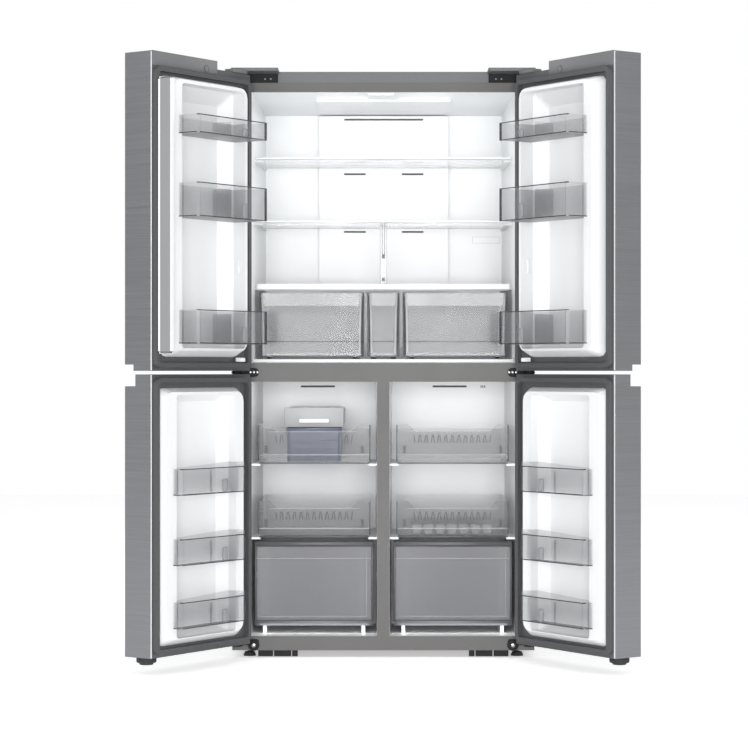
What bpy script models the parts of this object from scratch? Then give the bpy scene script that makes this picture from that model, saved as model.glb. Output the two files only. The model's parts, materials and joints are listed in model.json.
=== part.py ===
"""French door refrigerator: four doors on one cabinet, fridge above two freezers.

Lengths are metres. The cabinet frame has X to the right, Y into the cabinet from its front
face at Y = 0, and Z up from the floor. The doors stand open at rest.
"""

import math

import bmesh
import bpy
from mathutils import Matrix, Vector

# Fits
SEAT = 0.0003  # gap between pieces that touch
SLIDE_FIT = 0.004  # side gap of a piece that slides between walls
DOOR_GAP = 0.006  # gap between the left and right doors when closed

# Cabinet
CABINET_WIDTH = 0.912
HALF_WIDTH = CABINET_WIDTH / 2
CABINET_DEPTH = 0.613
CASE_TOP = 1.7336
CASE_BOTTOM = 0.0214
SHEET = 0.0012
FRAME_THICKNESS = 0.002
BASE_THICKNESS = 0.0043

# Compartments
LINER_WALL = 0.002
FLANGE_LAP = 0.009
FLANGE_THICKNESS = 0.0015
BACK_WALL = 0.113  # from a compartment's back to the cabinet's back, foam and sheet together
FRIDGE_SIDE_WALL = 0.057
FREEZER_SIDE_WALL = 0.0504
FRIDGE_TOP_WALL = 0.0286
COMPARTMENT_DEPTH = CABINET_DEPTH - BACK_WALL
FRIDGE_HALF_WIDTH = HALF_WIDTH - FRIDGE_SIDE_WALL
FRIDGE_FLOOR = 0.8886
FRIDGE_CEILING = CASE_TOP - FRIDGE_TOP_WALL
FRIDGE_SIDE_DRAFT = 0.018
FRIDGE_CEILING_DRAFT = 0.0175
FRIDGE_FLOOR_DRAFT = 0.010
FREEZER_INNER = 0.019
FREEZER_OUTER = HALF_WIDTH - FREEZER_SIDE_WALL
FREEZER_FLOOR = 0.0648
FREEZER_CEILING = 0.8316
FREEZER_OUTER_DRAFT = 0.0156
FREEZER_INNER_DRAFT = 0.007
MACHINE_DEPTH = 0.213
MACHINE_SIDE_WALL = 0.046
MACHINE_TOP = 0.262
MACHINE_FRONT = CABINET_DEPTH - MACHINE_DEPTH
MACHINE_HALF_WIDTH = HALF_WIDTH - MACHINE_SIDE_WALL
STEP_WALL = 0.055  # in front of the machine compartment, where the freezer floor steps up over it
STEP_FRONT = MACHINE_FRONT - STEP_WALL
STEP_RUN = 0.030
STEP_RISE = 0.235

# Top cover and hinges
TOP_COVER_HEIGHT = 0.0334
TOP_COVER_TOP = CASE_TOP + TOP_COVER_HEIGHT
TOP_COVER_DEPTH = 0.115
HINGE_CAP_TOP = TOP_COVER_TOP + 0.003
HINGE_CAP_FRONT = -0.075
HINGE_CAP_THICKNESS = 0.0095
HINGE_BLOCK_WIDTH = 0.1375
HINGE_BLOCK_INNER = HALF_WIDTH - HINGE_BLOCK_WIDTH
HINGE_PLATE = 0.006
HINGE_PLATE_LIFT = 0.020
HINGE_WALL = 0.006
HINGE_NOSE = 0.0165
HINGE_SEAT_HEIGHT = 0.028
BRACKET_WIDTH = 0.081
BRACKET_INNER = HALF_WIDTH - BRACKET_WIDTH
BRACKET_MARGIN = 0.0105  # height of the bracket over and under the arm
BRACKET_SCREWS = (0.068, 0.052)  # from the cabinet's side
BRACKET_SCREW_RADIUS = 0.0055
PIN_RADIUS = 0.0055
PIN_CLEARANCE = 0.0006
PIN_REACH = 0.026

# Doors
DOOR_WIDTH = (CABINET_WIDTH - DOOR_GAP) / 2
DOOR_THICKNESS = 0.1005
DOOR_STANDOFF = 0.020  # door's inner face to the cabinet's front face when closed
DOOR_OPEN_DEG = 124.7
HINGE_FROM_SIDE = 0.018
HINGE_FROM_INNER_FACE = 0.0345
UPPER_DOOR = (0.8647, 1.773)
LOWER_DOOR = (0.0487, 0.8548)
DOOR_CORNER = 0.007
RECESS_LENGTH = 0.157
RECESS_FLOOR = 1.750
GRIP_DEPTH = 0.043
GRIP_HEIGHT = 0.034
UPPER_GRIP_DEPTH = 0.036
UPPER_GRIP_HEIGHT = 0.018
GASKET_EDGE = 0.005
GASKET_HINGE_EDGE = 0.014  # further in, so that an open door's gasket leaves a drawer room to pass
GASKET_WIDTH = 0.014
GASKET_CORNER = 0.006
RIM = 0.0025

# Shelves and boxes
SHELF_FRONT = 0.112
SHELF_BACK = COMPARTMENT_DEPTH - 0.060
SHELF_THICKNESS = 0.005
SHELF_TRIM = 0.014
UPPER_SHELF_TOP = 1.518
MIDDLE_SHELF_TOP = 1.324
CRISPER_COVER_TOP = 1.126
CRISPER_TOP = 1.104
CRISPER_BOTTOM = 0.909
CRISPER_BACK = SHELF_BACK - 0.010
CRISPER_OUTER = FRIDGE_HALF_WIDTH - 0.019
CRISPER_SPLIT = 0.0487
DIVIDER = 0.004
POST_HALF_WIDTH = 0.011
BOX_WALL = 0.0025
FREEZER_FRONT = 0.062
FREEZER_BACK = COMPARTMENT_DEPTH - 0.060
TRAY_INNER = FREEZER_INNER + 0.021
TRAY_OUTER = FREEZER_OUTER - 0.0246
TRAY_UPPER = (0.582, 0.703, 0.679)  # underside, side walls, dip of the front and back
TRAY_MIDDLE = (0.358, 0.469, 0.4465)
DRAWER_INNER = FREEZER_INNER + 0.012
DRAWER_OUTER = FREEZER_OUTER - 0.0141
DRAWER_BOTTOM = 0.089
DRAWER_TOP = 0.345
DRAWER_BACK = STEP_FRONT - 0.013
ICE_MAKER_X = (-0.305, -0.124)
ICE_MAKER_Z = (0.692, 0.750)
ICE_MAKER_FRONT = 0.160
ICE_BOX_X = (-0.300, -0.128)
ICE_BOX_Y = (0.150, FREEZER_BACK - 0.020)
ICE_BOX_TOP = 0.688
DUCT_HALF_WIDTH = 0.208
DUCT_THICKNESS = 0.025
DUCT_TOP = FRIDGE_CEILING - 0.0204
DUCT_SLOT_DEPTH = 0.010
TOP_SLOT_HALF = 0.127
TOP_SLOT_Z = (1.6715, 1.6755)
WALL_SLOT_X = (0.060, 0.127)
WALL_SLOT_Z = (1.4970, 1.5360, 1.3120, 1.3390)
WALL_SLOT_HEIGHT = 0.005
LIGHT_BAR_Y = (0.140, 0.165)
LIGHT_BAR_DROP = 0.006
LIGHT_BAR_HALF = 0.205
COMPRESSOR_RINGS = (  # radius and height of the shell, from its foot plate to its cap
    (0.060, 0),
    (0.060, 0.006),
    (0.050, 0.012),
    (0.078, 0.034),
    (0.080, 0.080),
    (0.078, 0.120),
    (0.060, 0.155),
    (0.020, 0.170),
)
BASE_BLOCKS = ((0.197, 0.1805), (0.177, 0.126), (0.122, 0.078))  # from the cabinet's side
BASE_BLOCK_BOTTOM = 0.003
BASE_BLOCK_Y = (0.004, 0.030)

UPPER_SEAL = (LOWER_DOOR[1] + 0.0187, CASE_TOP - 0.0036)
LOWER_SEAL = (LOWER_DOOR[0] + 0.0098, UPPER_DOOR[0] - 0.0202)

# Door insides: u is measured from the hinge side, p inwards from the door's inner face
GASKET_INNER_U = (GASKET_HINGE_EDGE + GASKET_WIDTH, DOOR_WIDTH - GASKET_EDGE - GASKET_WIDTH)
UPPER_DYKE_U = (GASKET_INNER_U[0] + 0.026, GASKET_INNER_U[1] - 0.014)
UPPER_DYKE_Z = (UPPER_SEAL[0] + GASKET_WIDTH + 0.0175, UPPER_SEAL[1] - GASKET_WIDTH - 0.008)
LOWER_DYKE_U = (GASKET_INNER_U[0] + 0.022, GASKET_INNER_U[1])
LOWER_DYKE_Z = (LOWER_SEAL[0] + GASKET_WIDTH + 0.0075, LOWER_SEAL[1] - GASKET_WIDTH - 0.0145)
UPPER_DYKE = {
    "u": UPPER_DYKE_U,
    "z": UPPER_DYKE_Z,
    "height": 0.048,
    "inner_u": (UPPER_DYKE_U[0] + 0.028, UPPER_DYKE_U[1] - 0.048),
    "inner_z": (UPPER_DYKE_Z[0] + 0.025, UPPER_DYKE_Z[1] - 0.022),
    "floor_depth": 0.035,
    "floor_inset": (0.030, 0.040, 0.020),
}
LOWER_DYKE = {
    "u": LOWER_DYKE_U,
    "z": LOWER_DYKE_Z,
    "height": 0.030,
    "inner_u": (LOWER_DYKE_U[0] + 0.055, LOWER_DYKE_U[1] - 0.059),
    "inner_z": (LOWER_DYKE_Z[0] + 0.020, LOWER_DYKE_Z[1] - 0.020),
    "floor_depth": 0.030,
    "floor_inset": (0.020, 0.020, 0.014),
}
DYKE_SLOPE = 0.018
DYKE_FREE_SLOPE = 0.012
DYKE_CORNER = 0.028
POCKET_CORNER = 0.010
BIN_EAR = 0.015  # how far a bin's front overhangs the dyke on each side
UPPER_BIN_REACH = 0.120
LOWER_BIN_REACH = 0.060
UPPER_BINS = ((1.541, 1.593), (1.304, 1.400), (0.943, 1.0385))
LOWER_BINS = ((0.510, 0.585), (0.310, 0.385), (0.130, 0.205))
LOWER_BIN_RISE = 0.012
FLIPPER_U = (DOOR_WIDTH - 0.026, DOOR_WIDTH - 0.008)
FLIPPER_P = (DOOR_STANDOFF + 0.0005, DOOR_STANDOFF + 0.0455)
FLIPPER_BOTTOM = UPPER_DYKE_Z[0] + 0.0143
FLIPPER_TOP = UPPER_DYKE_Z[1] - 0.016
FLIPPER_LUG = 0.006
FLIPPER_PIN = 0.0025
FLIPPER_GUIDE_LEFT = 0.046
FLIPPER_GUIDE_RIGHT = 0.032
FLIPPER_GUIDE_FRONT = 0.022
FLIPPER_GUIDE_BACK = 0.070

# Floor contact
FOOT_X = HALF_WIDTH - 0.050
FOOT_Y = 0.050
FOOT_RADIUS = 0.019
FOOT_BEVEL = 0.004
FOOT_RIM = 0.003
FOOT_HEIGHT = 0.012
STUD_RADIUS = 0.005
STUD_NECK = 0.008
STUD_TOP = 0.050
ROLLER_X = HALF_WIDTH - 0.106
ROLLER_Y = CABINET_DEPTH - 0.053
ROLLER_RADIUS = 0.0145
ROLLER_WIDTH = 0.018
AXLE_RADIUS = 0.003
AXLE_CLEARANCE = 0.0005
ROLLER_EAR = 0.003
ROLLER_EAR_REACH = 0.008

HINGE_X = HALF_WIDTH - HINGE_FROM_SIDE
HINGE_Y = -DOOR_STANDOFF - HINGE_FROM_INNER_FACE
LEFT, RIGHT = -1, 1
SIDES = {"left": LEFT, "right": RIGHT}


def clear_scene():
    for old in list(bpy.data.objects):
        bpy.data.objects.remove(old)


def material(name, colour, roughness, metallic=0.0, alpha=1.0):
    made = bpy.data.materials.get(name)
    if made:
        return made
    made = bpy.data.materials.new(name)
    made.use_nodes = True
    made.diffuse_color = (*colour, alpha)
    shader = made.node_tree.nodes["Principled BSDF"]
    shader.inputs["Base Color"].default_value = (*colour, 1.0)
    shader.inputs["Roughness"].default_value = roughness
    shader.inputs["Metallic"].default_value = metallic
    shader.inputs["Alpha"].default_value = alpha
    return made


def steel():
    return material("brushed_steel", (0.42, 0.42, 0.42), 0.35, 1.0)


def grey_steel():
    return material("grey_enamel", (0.24, 0.235, 0.23), 0.45)


def white_plastic():
    return material("white_plastic", (0.85, 0.86, 0.88), 0.4)


def grey_plastic():
    return material("grey_plastic", (0.22, 0.22, 0.23), 0.5)


def black_steel():
    return material("black_steel", (0.03, 0.03, 0.032), 0.4)


def clear_plastic():
    return material("clear_plastic", (0.6, 0.61, 0.65), 0.1, 0.0, 0.45)


def ice_plastic():
    return material("ice_box_plastic", (0.35, 0.4, 0.6), 0.15, 0.0, 0.5)


def foam():
    return material("insulation_foam", (0.8, 0.75, 0.55), 0.9)


def rubber():
    return material("gasket_rubber", (0.8, 0.8, 0.82), 0.6)


def shelf_glass():
    return material("shelf_glass", (0.7, 0.78, 0.76), 0.05, 0.0, 0.4)


# ---------------------------------------------------------------- mesh helpers


def box(bm, low, high):
    made = bmesh.ops.create_cube(bm, size=1.0)["verts"]
    for vert in made:
        for axis in range(3):
            vert.co[axis] = high[axis] if vert.co[axis] > 0 else low[axis]


def rod(bm, start, end, radius, end_radius=None, sides=20):
    start, end = Vector(start), Vector(end)
    along = end - start
    turn = Vector((0, 0, 1)).rotation_difference(along).to_matrix().to_4x4()
    bmesh.ops.create_cone(
        bm,
        cap_ends=True,
        segments=sides,
        radius1=radius,
        radius2=radius if end_radius is None else end_radius,
        depth=along.length,
        matrix=Matrix.Translation((start + end) / 2) @ turn,
    )


def stack(bm, loops, ring=False):
    """Skins a list of loops of points; the ends are capped, or joined when ring is set."""
    rows = [[bm.verts.new(point) for point in loop] for loop in loops]
    pairs = list(zip(rows, rows[1:] + rows[:1]))
    for near, far in pairs if ring else pairs[:-1]:
        for i in range(len(near)):
            j = (i + 1) % len(near)
            bm.faces.new((near[i], near[j], far[j], far[i]))
    if not ring:
        bm.faces.new(rows[0])
        bm.faces.new(rows[-1])


def prism(bm, outline, place, low, high):
    """Extrudes a plane outline from low to high; place turns (a, b, height) into a point."""
    stack(bm, [[place(a, b, h) for a, b in outline] for h in (low, high)])


def upright(a, b, h):
    return (a, b, h)


def across(a, b, h):
    return (h, a, b)


def inset(outline, distance):
    """Moves each edge of a counter-clockwise outline inwards and meets its neighbours again."""
    count = len(outline)
    lines = []
    for i in range(count):
        start, end = Vector(outline[i]), Vector(outline[(i + 1) % count])
        along = (end - start).normalized()
        normal = Vector((-along.y, along.x))
        lines.append((start + normal * distance, along))
    moved = []
    for i in range(count):
        (p, r), (q, s) = lines[i - 1], lines[i]
        turn = r.x * s.y - r.y * s.x
        gap = q - p
        straight = abs(turn) < 1e-9
        moved.append(tuple(q if straight else p + r * ((gap.x * s.y - gap.y * s.x) / turn)))
    return moved


def rectangle(low, high):
    return [(low[0], low[1]), (high[0], low[1]), (high[0], high[1]), (low[0], high[1])]


def rounded(low, high, radius, steps=3):
    outline = []
    corners = ((high[0], low[1], -90), (high[0], high[1], 0), (low[0], high[1], 90), (low[0], low[1], 180))
    for x, y, start in corners:
        centre_x = x - math.copysign(radius, x - (low[0] + high[0]) / 2)
        centre_y = y - math.copysign(radius, y - (low[1] + high[1]) / 2)
        for step in range(steps + 1):
            angle = math.radians(start + 90 * step / steps)
            outline.append((centre_x + radius * math.cos(angle), centre_y + radius * math.sin(angle)))
    return outline


def tray(bm, outline, bottom, top, wall=BOX_WALL, draft=0.0):
    """An open box over a plan outline; top is a height, or a function of the plan point."""
    height = top if callable(top) else lambda a, b: top
    foot = inset(outline, draft) if draft else outline
    inner = inset(outline, wall)
    inner_foot = inset(foot, wall)
    stack(
        bm,
        [
            [(a, b, bottom) for a, b in foot],
            [(a, b, height(a, b)) for a, b in outline],
            [(a, b, height(a, b)) for a, b in inner],
            [(a, b, bottom + wall) for a, b in inner_foot],
        ],
    )


def mirrored(bm, side):
    """The left-hand shape as it is, or turned into the right-hand one."""
    if side == RIGHT:
        bmesh.ops.scale(bm, vec=(-1, 1, 1), verts=bm.verts)
    bmesh.ops.recalc_face_normals(bm, faces=bm.faces)


def add_object(name, bm, finish, parent):
    bmesh.ops.recalc_face_normals(bm, faces=bm.faces)
    mesh = bpy.data.meshes.new(name)
    bm.to_mesh(mesh)
    bm.free()
    mesh.materials.append(finish)
    mesh.shade_smooth()
    mesh.set_sharp_from_angle(angle=math.radians(35))
    made = bpy.data.objects.new(name, mesh)
    bpy.context.scene.collection.objects.link(made)
    made.parent = parent
    return made


def combine(target, bm, operation):
    """Unions a helper shape with the target, or cuts it away."""
    helper = add_object(f"{target.name}.{operation.lower()}", bm, target.data.materials[0], target.parent)
    helper.hide_render = True
    helper.display_type = "WIRE"
    modifier = target.modifiers.new(operation.title(), "BOOLEAN")
    modifier.operation = operation
    modifier.object = helper
    modifier.use_self = True


def empty(name, parent, location, turn=0.0):
    made = bpy.data.objects.new(name, None)
    bpy.context.scene.collection.objects.link(made)
    made.parent = parent
    made.location = location
    made.rotation_euler.z = turn
    return made


# ---------------------------------------------------------------- compartments


def fridge_half_width(y):
    return FRIDGE_HALF_WIDTH - FRIDGE_SIDE_DRAFT * max(y, 0) / COMPARTMENT_DEPTH


def fridge_ceiling(y):
    return FRIDGE_CEILING - FRIDGE_CEILING_DRAFT * max(y, 0) / COMPARTMENT_DEPTH


def fridge_floor(y):
    return FRIDGE_FLOOR + FRIDGE_FLOOR_DRAFT * max(y, 0) / COMPARTMENT_DEPTH


def freezer_outer(y):
    return FREEZER_OUTER - FREEZER_OUTER_DRAFT * max(y, 0) / COMPARTMENT_DEPTH


def freezer_inner(y):
    return FREEZER_INNER + FREEZER_INNER_DRAFT * max(y, 0) / COMPARTMENT_DEPTH


def freezer_floor(y):
    share = min(max((y - STEP_FRONT) / STEP_RUN, 0), 1)
    return FREEZER_FLOOR + STEP_RISE * share


def fridge_section(y, grow, at):
    half = fridge_half_width(y) + grow
    low, high = fridge_floor(y) - grow, fridge_ceiling(y) + grow
    return [(x, at, z) for x, z in rectangle((-half, low), (half, high))]


def freezer_section(y, grow, at, side):
    near, far = sorted((side * (freezer_inner(y) - grow), side * (freezer_outer(y) + grow)))
    low, high = freezer_floor(y) - grow, FREEZER_CEILING + grow
    return [(x, at, z) for x, z in rectangle((near, low), (far, high))]


def fridge_cavity(grow, front):
    """Sections of the fridge cavity, grown by a wall, from the given front to the back."""
    back = COMPARTMENT_DEPTH + grow
    return [fridge_section(0, grow, front), fridge_section(COMPARTMENT_DEPTH, grow, back)]


def freezer_cavity(grow, front, side):
    step_back = STEP_FRONT + STEP_RUN
    return [
        freezer_section(0, grow, front, side),
        freezer_section(STEP_FRONT, grow, STEP_FRONT + grow, side),
        freezer_section(step_back, grow, step_back + grow, side),
        freezer_section(COMPARTMENT_DEPTH, grow, COMPARTMENT_DEPTH + grow, side),
    ]


def liner(bm, cavity, section):
    """A moulded box with an open front and a flange that laps the front frame."""
    back_of_flange, front_of_flange = -SEAT, -SEAT - FLANGE_THICKNESS
    outside = cavity(LINER_WALL, back_of_flange)
    inside = cavity(0, front_of_flange)
    stack(
        bm,
        outside[::-1]
        + [section(0, FLANGE_LAP, back_of_flange), section(0, FLANGE_LAP, front_of_flange)]
        + inside,
    )


def wall_ledge(bm, wall, reach, top, front, back, thickness, side):
    """A rail on a side wall that slopes in plan; it runs from the wall out to reach."""
    into = LINER_WALL / 2
    outward = 1 if wall(front) > reach else -1
    outline = [
        (side * reach, front),
        (side * (wall(front) + outward * into), front),
        (side * (wall(back) + outward * into), back),
        (side * reach, back),
    ]
    prism(bm, outline, upright, top - thickness, top)


def wall_block(bm, wall, sunk, level, left, right, front, back):
    """A block from a sloping floor or ceiling to a level, its foot sunk into the liner's wall."""
    profile = [(front, wall(front) + sunk), (back, wall(back) + sunk), (back, level), (front, level)]
    prism(bm, profile, across, left, right)


def make_fridge_liner(cabinet):
    bm = bmesh.new()
    liner(bm, fridge_cavity, fridge_section)
    made = add_object("fridge_liner", bm, white_plastic(), cabinet)
    ledges = bmesh.new()
    for side in SIDES.values():
        for top in (UPPER_SHELF_TOP, MIDDLE_SHELF_TOP, CRISPER_COVER_TOP):
            reach = fridge_half_width(SHELF_BACK) - 0.010
            under = top - SHELF_THICKNESS - SEAT
            wall_ledge(ledges, fridge_half_width, reach, under, SHELF_FRONT + 0.02, SHELF_BACK, 0.006, side)
    rails = (CRISPER_OUTER - 0.03, CRISPER_SPLIT + 0.04, CRISPER_SPLIT - 0.02)
    for x in [side * rail for side in SIDES.values() for rail in rails]:
        spot = (x - 0.006, x + 0.006, SHELF_FRONT + 0.01, CRISPER_BACK)
        wall_block(ledges, fridge_floor, -LINER_WALL / 2, CRISPER_BOTTOM - SEAT, *spot)
    spot = (-FLIPPER_GUIDE_LEFT, FLIPPER_GUIDE_RIGHT, FLIPPER_GUIDE_FRONT, FLIPPER_GUIDE_BACK)
    wall_block(ledges, fridge_ceiling, LINER_WALL / 2, FLIPPER_TOP + FLIPPER_LUG + 2 * SEAT, *spot)
    combine(made, ledges, "UNION")
    return made


def make_freezer_liner(name, side, cabinet):
    bm = bmesh.new()
    liner(
        bm,
        lambda grow, front: freezer_cavity(grow, front, side),
        lambda y, grow, at: freezer_section(y, grow, at, side),
    )
    made = add_object(name, bm, white_plastic(), cabinet)
    ledges = bmesh.new()
    for low, *_ in (TRAY_UPPER, TRAY_MIDDLE):
        for wall, reach in ((freezer_outer, TRAY_OUTER - 0.006), (freezer_inner, TRAY_INNER + 0.006)):
            wall_ledge(ledges, wall, reach, low - SEAT, FREEZER_FRONT + 0.005, FREEZER_BACK, 0.006, side)
    for x in (side * (DRAWER_OUTER - 0.03), side * (DRAWER_INNER + 0.03)):
        low = (x - 0.005, FREEZER_FRONT + 0.01, FREEZER_FLOOR - LINER_WALL / 2)
        box(ledges, low, (x + 0.005, DRAWER_BACK, DRAWER_BOTTOM - SEAT))
    combine(made, ledges, "UNION")


# ---------------------------------------------------------------- cabinet shell


def make_front_frame(cabinet):
    bm = bmesh.new()
    half = CABINET_WIDTH / 2
    box(bm, (-half, 0, CASE_BOTTOM), (half, FRAME_THICKNESS, CASE_TOP))
    made = add_object("front_frame", bm, grey_steel(), cabinet)
    holes = bmesh.new()
    grow = LINER_WALL + SEAT
    stack(holes, [fridge_section(0, grow, at) for at in (-0.01, FRAME_THICKNESS + 0.01)])
    for side in SIDES.values():
        stack(holes, [freezer_section(0, grow, at, side) for at in (-0.01, FRAME_THICKNESS + 0.01)])
    combine(made, holes, "DIFFERENCE")


def make_outer_case(cabinet):
    """The painted wrap: two sides, the top and the back, open to the front and the floor."""
    half = CABINET_WIDTH / 2
    front = FRAME_THICKNESS + SEAT
    bm = bmesh.new()
    box(bm, (-half, front, CASE_BOTTOM), (half, CABINET_DEPTH, CASE_TOP))
    made = add_object("outer_case", bm, grey_steel(), cabinet)
    hollow = bmesh.new()
    inner = half - SHEET
    box(hollow, (-inner, front - 0.01, CASE_BOTTOM - 0.01), (inner, CABINET_DEPTH - SHEET, CASE_TOP - SHEET))
    wide = MACHINE_HALF_WIDTH
    box(hollow, (-wide, CABINET_DEPTH - 2 * SHEET, CASE_BOTTOM - 0.02), (wide, CABINET_DEPTH + 0.01, MACHINE_TOP))
    combine(made, hollow, "DIFFERENCE")


def make_insulation(cabinet):
    half = CABINET_WIDTH / 2 - SHEET - SEAT
    front = FRAME_THICKNESS + SEAT
    back = CABINET_DEPTH - SHEET - SEAT
    bottom = CASE_BOTTOM + BASE_THICKNESS + SEAT
    bm = bmesh.new()
    box(bm, (-half, front, bottom), (half, back, CASE_TOP - SHEET - SEAT))
    made = add_object("insulation_foam", bm, foam(), cabinet)
    hollows = bmesh.new()
    grow = LINER_WALL + SEAT
    mouth = front - 0.02
    stack(hollows, [fridge_section(0, grow, mouth)] + fridge_cavity(grow, front))
    for side in SIDES.values():
        stack(hollows, [freezer_section(0, grow, mouth, side)] + freezer_cavity(grow, front, side))
    wide = MACHINE_HALF_WIDTH
    box(hollows, (-wide, MACHINE_FRONT, bottom - 0.01), (wide, back + 0.01, MACHINE_TOP))
    for side in SIDES.values():
        x = side * FOOT_X
        rod(hollows, (x, FOOT_Y, bottom - 0.01), (x, FOOT_Y, STUD_TOP + 0.004), STUD_RADIUS + 0.003)
    combine(made, hollows, "DIFFERENCE")


def make_top_cover(cabinet):
    half = CABINET_WIDTH / 2
    inner = HINGE_BLOCK_INNER - 0.001
    bottom = CASE_TOP + SEAT
    bm = bmesh.new()
    box(bm, (-inner, SEAT, bottom), (inner, TOP_COVER_DEPTH, TOP_COVER_TOP))
    made = add_object("top_cover", bm, grey_plastic(), cabinet)
    caps = bmesh.new()
    low = HINGE_CAP_TOP - HINGE_CAP_THICKNESS
    for side in SIDES.values():
        near, far = sorted((side * (inner - 0.003), side * (half - 0.0005)))
        outline = rounded((near, HINGE_CAP_FRONT), (far, TOP_COVER_DEPTH), 0.006)
        prism(caps, outline, upright, low, HINGE_CAP_TOP)
    combine(made, caps, "UNION")


def make_base_frame(cabinet):
    half = CABINET_WIDTH / 2 - SHEET - SEAT
    top = CASE_BOTTOM + BASE_THICKNESS
    bm = bmesh.new()
    box(bm, (-half, FRAME_THICKNESS + SEAT, CASE_BOTTOM), (half, CABINET_DEPTH - SHEET - SEAT, top))
    made = add_object("base_frame", bm, black_steel(), cabinet)
    slots, lugs, bores = bmesh.new(), bmesh.new(), bmesh.new()
    bore = AXLE_RADIUS + AXLE_CLEARANCE
    for side in SIDES.values():
        x = side * FOOT_X
        rod(slots, (x, FOOT_Y, 0.01), (x, FOOT_Y, 0.04), STUD_RADIUS + SEAT)
        x = side * ROLLER_X
        wide, run = ROLLER_WIDTH / 2 + 0.002, ROLLER_RADIUS + 0.003
        box(slots, (x - wide, ROLLER_Y - run, 0.01), (x + wide, ROLLER_Y + run, 0.04))
        for ear in (x - wide - ROLLER_EAR, x + wide):
            low = (ear, ROLLER_Y - ROLLER_EAR_REACH, ROLLER_RADIUS - 0.006)
            box(lugs, low, (ear + ROLLER_EAR, ROLLER_Y + ROLLER_EAR_REACH, top - 0.001))
            ends = [(at, ROLLER_Y, ROLLER_RADIUS) for at in (ear - 0.01, ear + ROLLER_EAR + 0.01)]
            rod(bores, *ends, bore)
        for near, far in BASE_BLOCKS:
            low, high = sorted(side * (HALF_WIDTH - distance) for distance in (near, far))
            front, back = BASE_BLOCK_Y
            box(lugs, (low, front, BASE_BLOCK_BOTTOM), (high, back, CASE_BOTTOM + 0.001))
    combine(made, slots, "DIFFERENCE")
    combine(made, lugs, "UNION")
    combine(made, bores, "DIFFERENCE")


def make_compressor(cabinet):
    floor = CASE_BOTTOM + BASE_THICKNESS + SEAT
    x, y = -0.16, (MACHINE_FRONT + CABINET_DEPTH) / 2
    bm = bmesh.new()
    loops = []
    for radius, height in COMPRESSOR_RINGS:
        turns = [2 * math.pi * k / 20 for k in range(20)]
        loops.append([(x + radius * math.cos(t), y + radius * math.sin(t), floor + height) for t in turns])
    stack(bm, loops)
    add_object("compressor", bm, black_steel(), cabinet)


# ---------------------------------------------------------------- hinges


def hinge_arm(bottom, top, back):
    """A flat arm from the cabinet out to the hinge axis, with a round nose."""
    turns = [math.radians(180 + 180 * step / 12) for step in range(13)]
    nose = [(HINGE_NOSE * math.cos(t) - HINGE_X, HINGE_NOSE * math.sin(t) + HINGE_Y) for t in turns]
    outline = [(-HINGE_X - HINGE_NOSE, back), *nose, (-HINGE_X + HINGE_NOSE, back)]
    bm = bmesh.new()
    prism(bm, outline, upright, bottom, top)
    return bm


def pin(bottom, top):
    bm = bmesh.new()
    rod(bm, (-HINGE_X, HINGE_Y, bottom), (-HINGE_X, HINGE_Y, top), PIN_RADIUS)
    return bm


def hinge_object(name, body, extras, side, parent):
    mirrored(body, side)
    made = add_object(name, body, black_steel(), parent)
    for extra in extras:
        mirrored(extra, side)
        combine(made, extra, "UNION")


def make_top_hinge(name, side, cabinet):
    bottom = CASE_TOP + SEAT
    plate = bottom + HINGE_PLATE_LIFT
    top = plate + HINGE_PLATE
    outer = -HINGE_X - HINGE_NOSE
    body = bmesh.new()
    box(body, (outer, SEAT, bottom), (-HINGE_BLOCK_INNER, 0.100, top))
    arm = hinge_arm(plate, top, 0.001)
    hinge_object(name, body, [arm, pin(plate - PIN_REACH, plate + 0.002)], side, cabinet)


def bracket(low, high):
    """The plate on the cabinet's face that an arm stands out from."""
    outer = -CABINET_WIDTH / 2 + 0.0005
    outline = rounded((outer, low), (-BRACKET_INNER, high), (high - low) * 0.45)
    bm = bmesh.new()
    prism(bm, outline, lambda a, b, h: (a, h, b), -SEAT - HINGE_WALL, -SEAT)
    return bm


def make_mid_hinge(name, side, cabinet):
    bottom = (LOWER_DOOR[1] + UPPER_DOOR[0]) / 2 - HINGE_PLATE / 2
    top = bottom + HINGE_PLATE
    arm = hinge_arm(bottom, top, -SEAT - 0.001)
    screws = bmesh.new()
    middle = (bottom + top) / 2
    for distance in BRACKET_SCREWS:
        ends = [(distance - HALF_WIDTH, y, middle) for y in (-SEAT - 0.003, -SEAT - HINGE_WALL - 0.003)]
        rod(screws, *ends, BRACKET_SCREW_RADIUS)
    parts = [arm, pin(bottom - PIN_REACH, top + PIN_REACH), screws]
    plate = bracket(bottom - BRACKET_MARGIN, top + BRACKET_MARGIN)
    hinge_object(name, plate, parts, side, cabinet)


def make_bottom_hinge(name, side, cabinet):
    top = LOWER_DOOR[0] - 0.0025
    bottom = top - HINGE_PLATE
    arm = hinge_arm(bottom, top, -SEAT - 0.001)
    plate = bracket(bottom - 0.002, FREEZER_FLOOR - FLANGE_LAP - SEAT)
    hinge_object(name, plate, [arm, pin(bottom + 0.001, top + PIN_REACH)], side, cabinet)


# ---------------------------------------------------------------- doors

OUTER_FACE = HINGE_FROM_INNER_FACE - DOOR_THICKNESS


def door_profile(low, high, upper):
    """The door seen from its side: depth from the hinge axis, and height, with the grip cut out."""
    inner = HINGE_FROM_INNER_FACE
    if upper:
        grip = OUTER_FACE + UPPER_GRIP_DEPTH
        step = low + UPPER_GRIP_HEIGHT
        return [(grip, low), (inner, low), (inner, high), (OUTER_FACE, high), (OUTER_FACE, step), (grip, step)]
    grip = OUTER_FACE + GRIP_DEPTH
    step = high - GRIP_HEIGHT
    return [(OUTER_FACE, low), (inner, low), (inner, high), (grip, high), (grip, step), (OUTER_FACE, step)]


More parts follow.
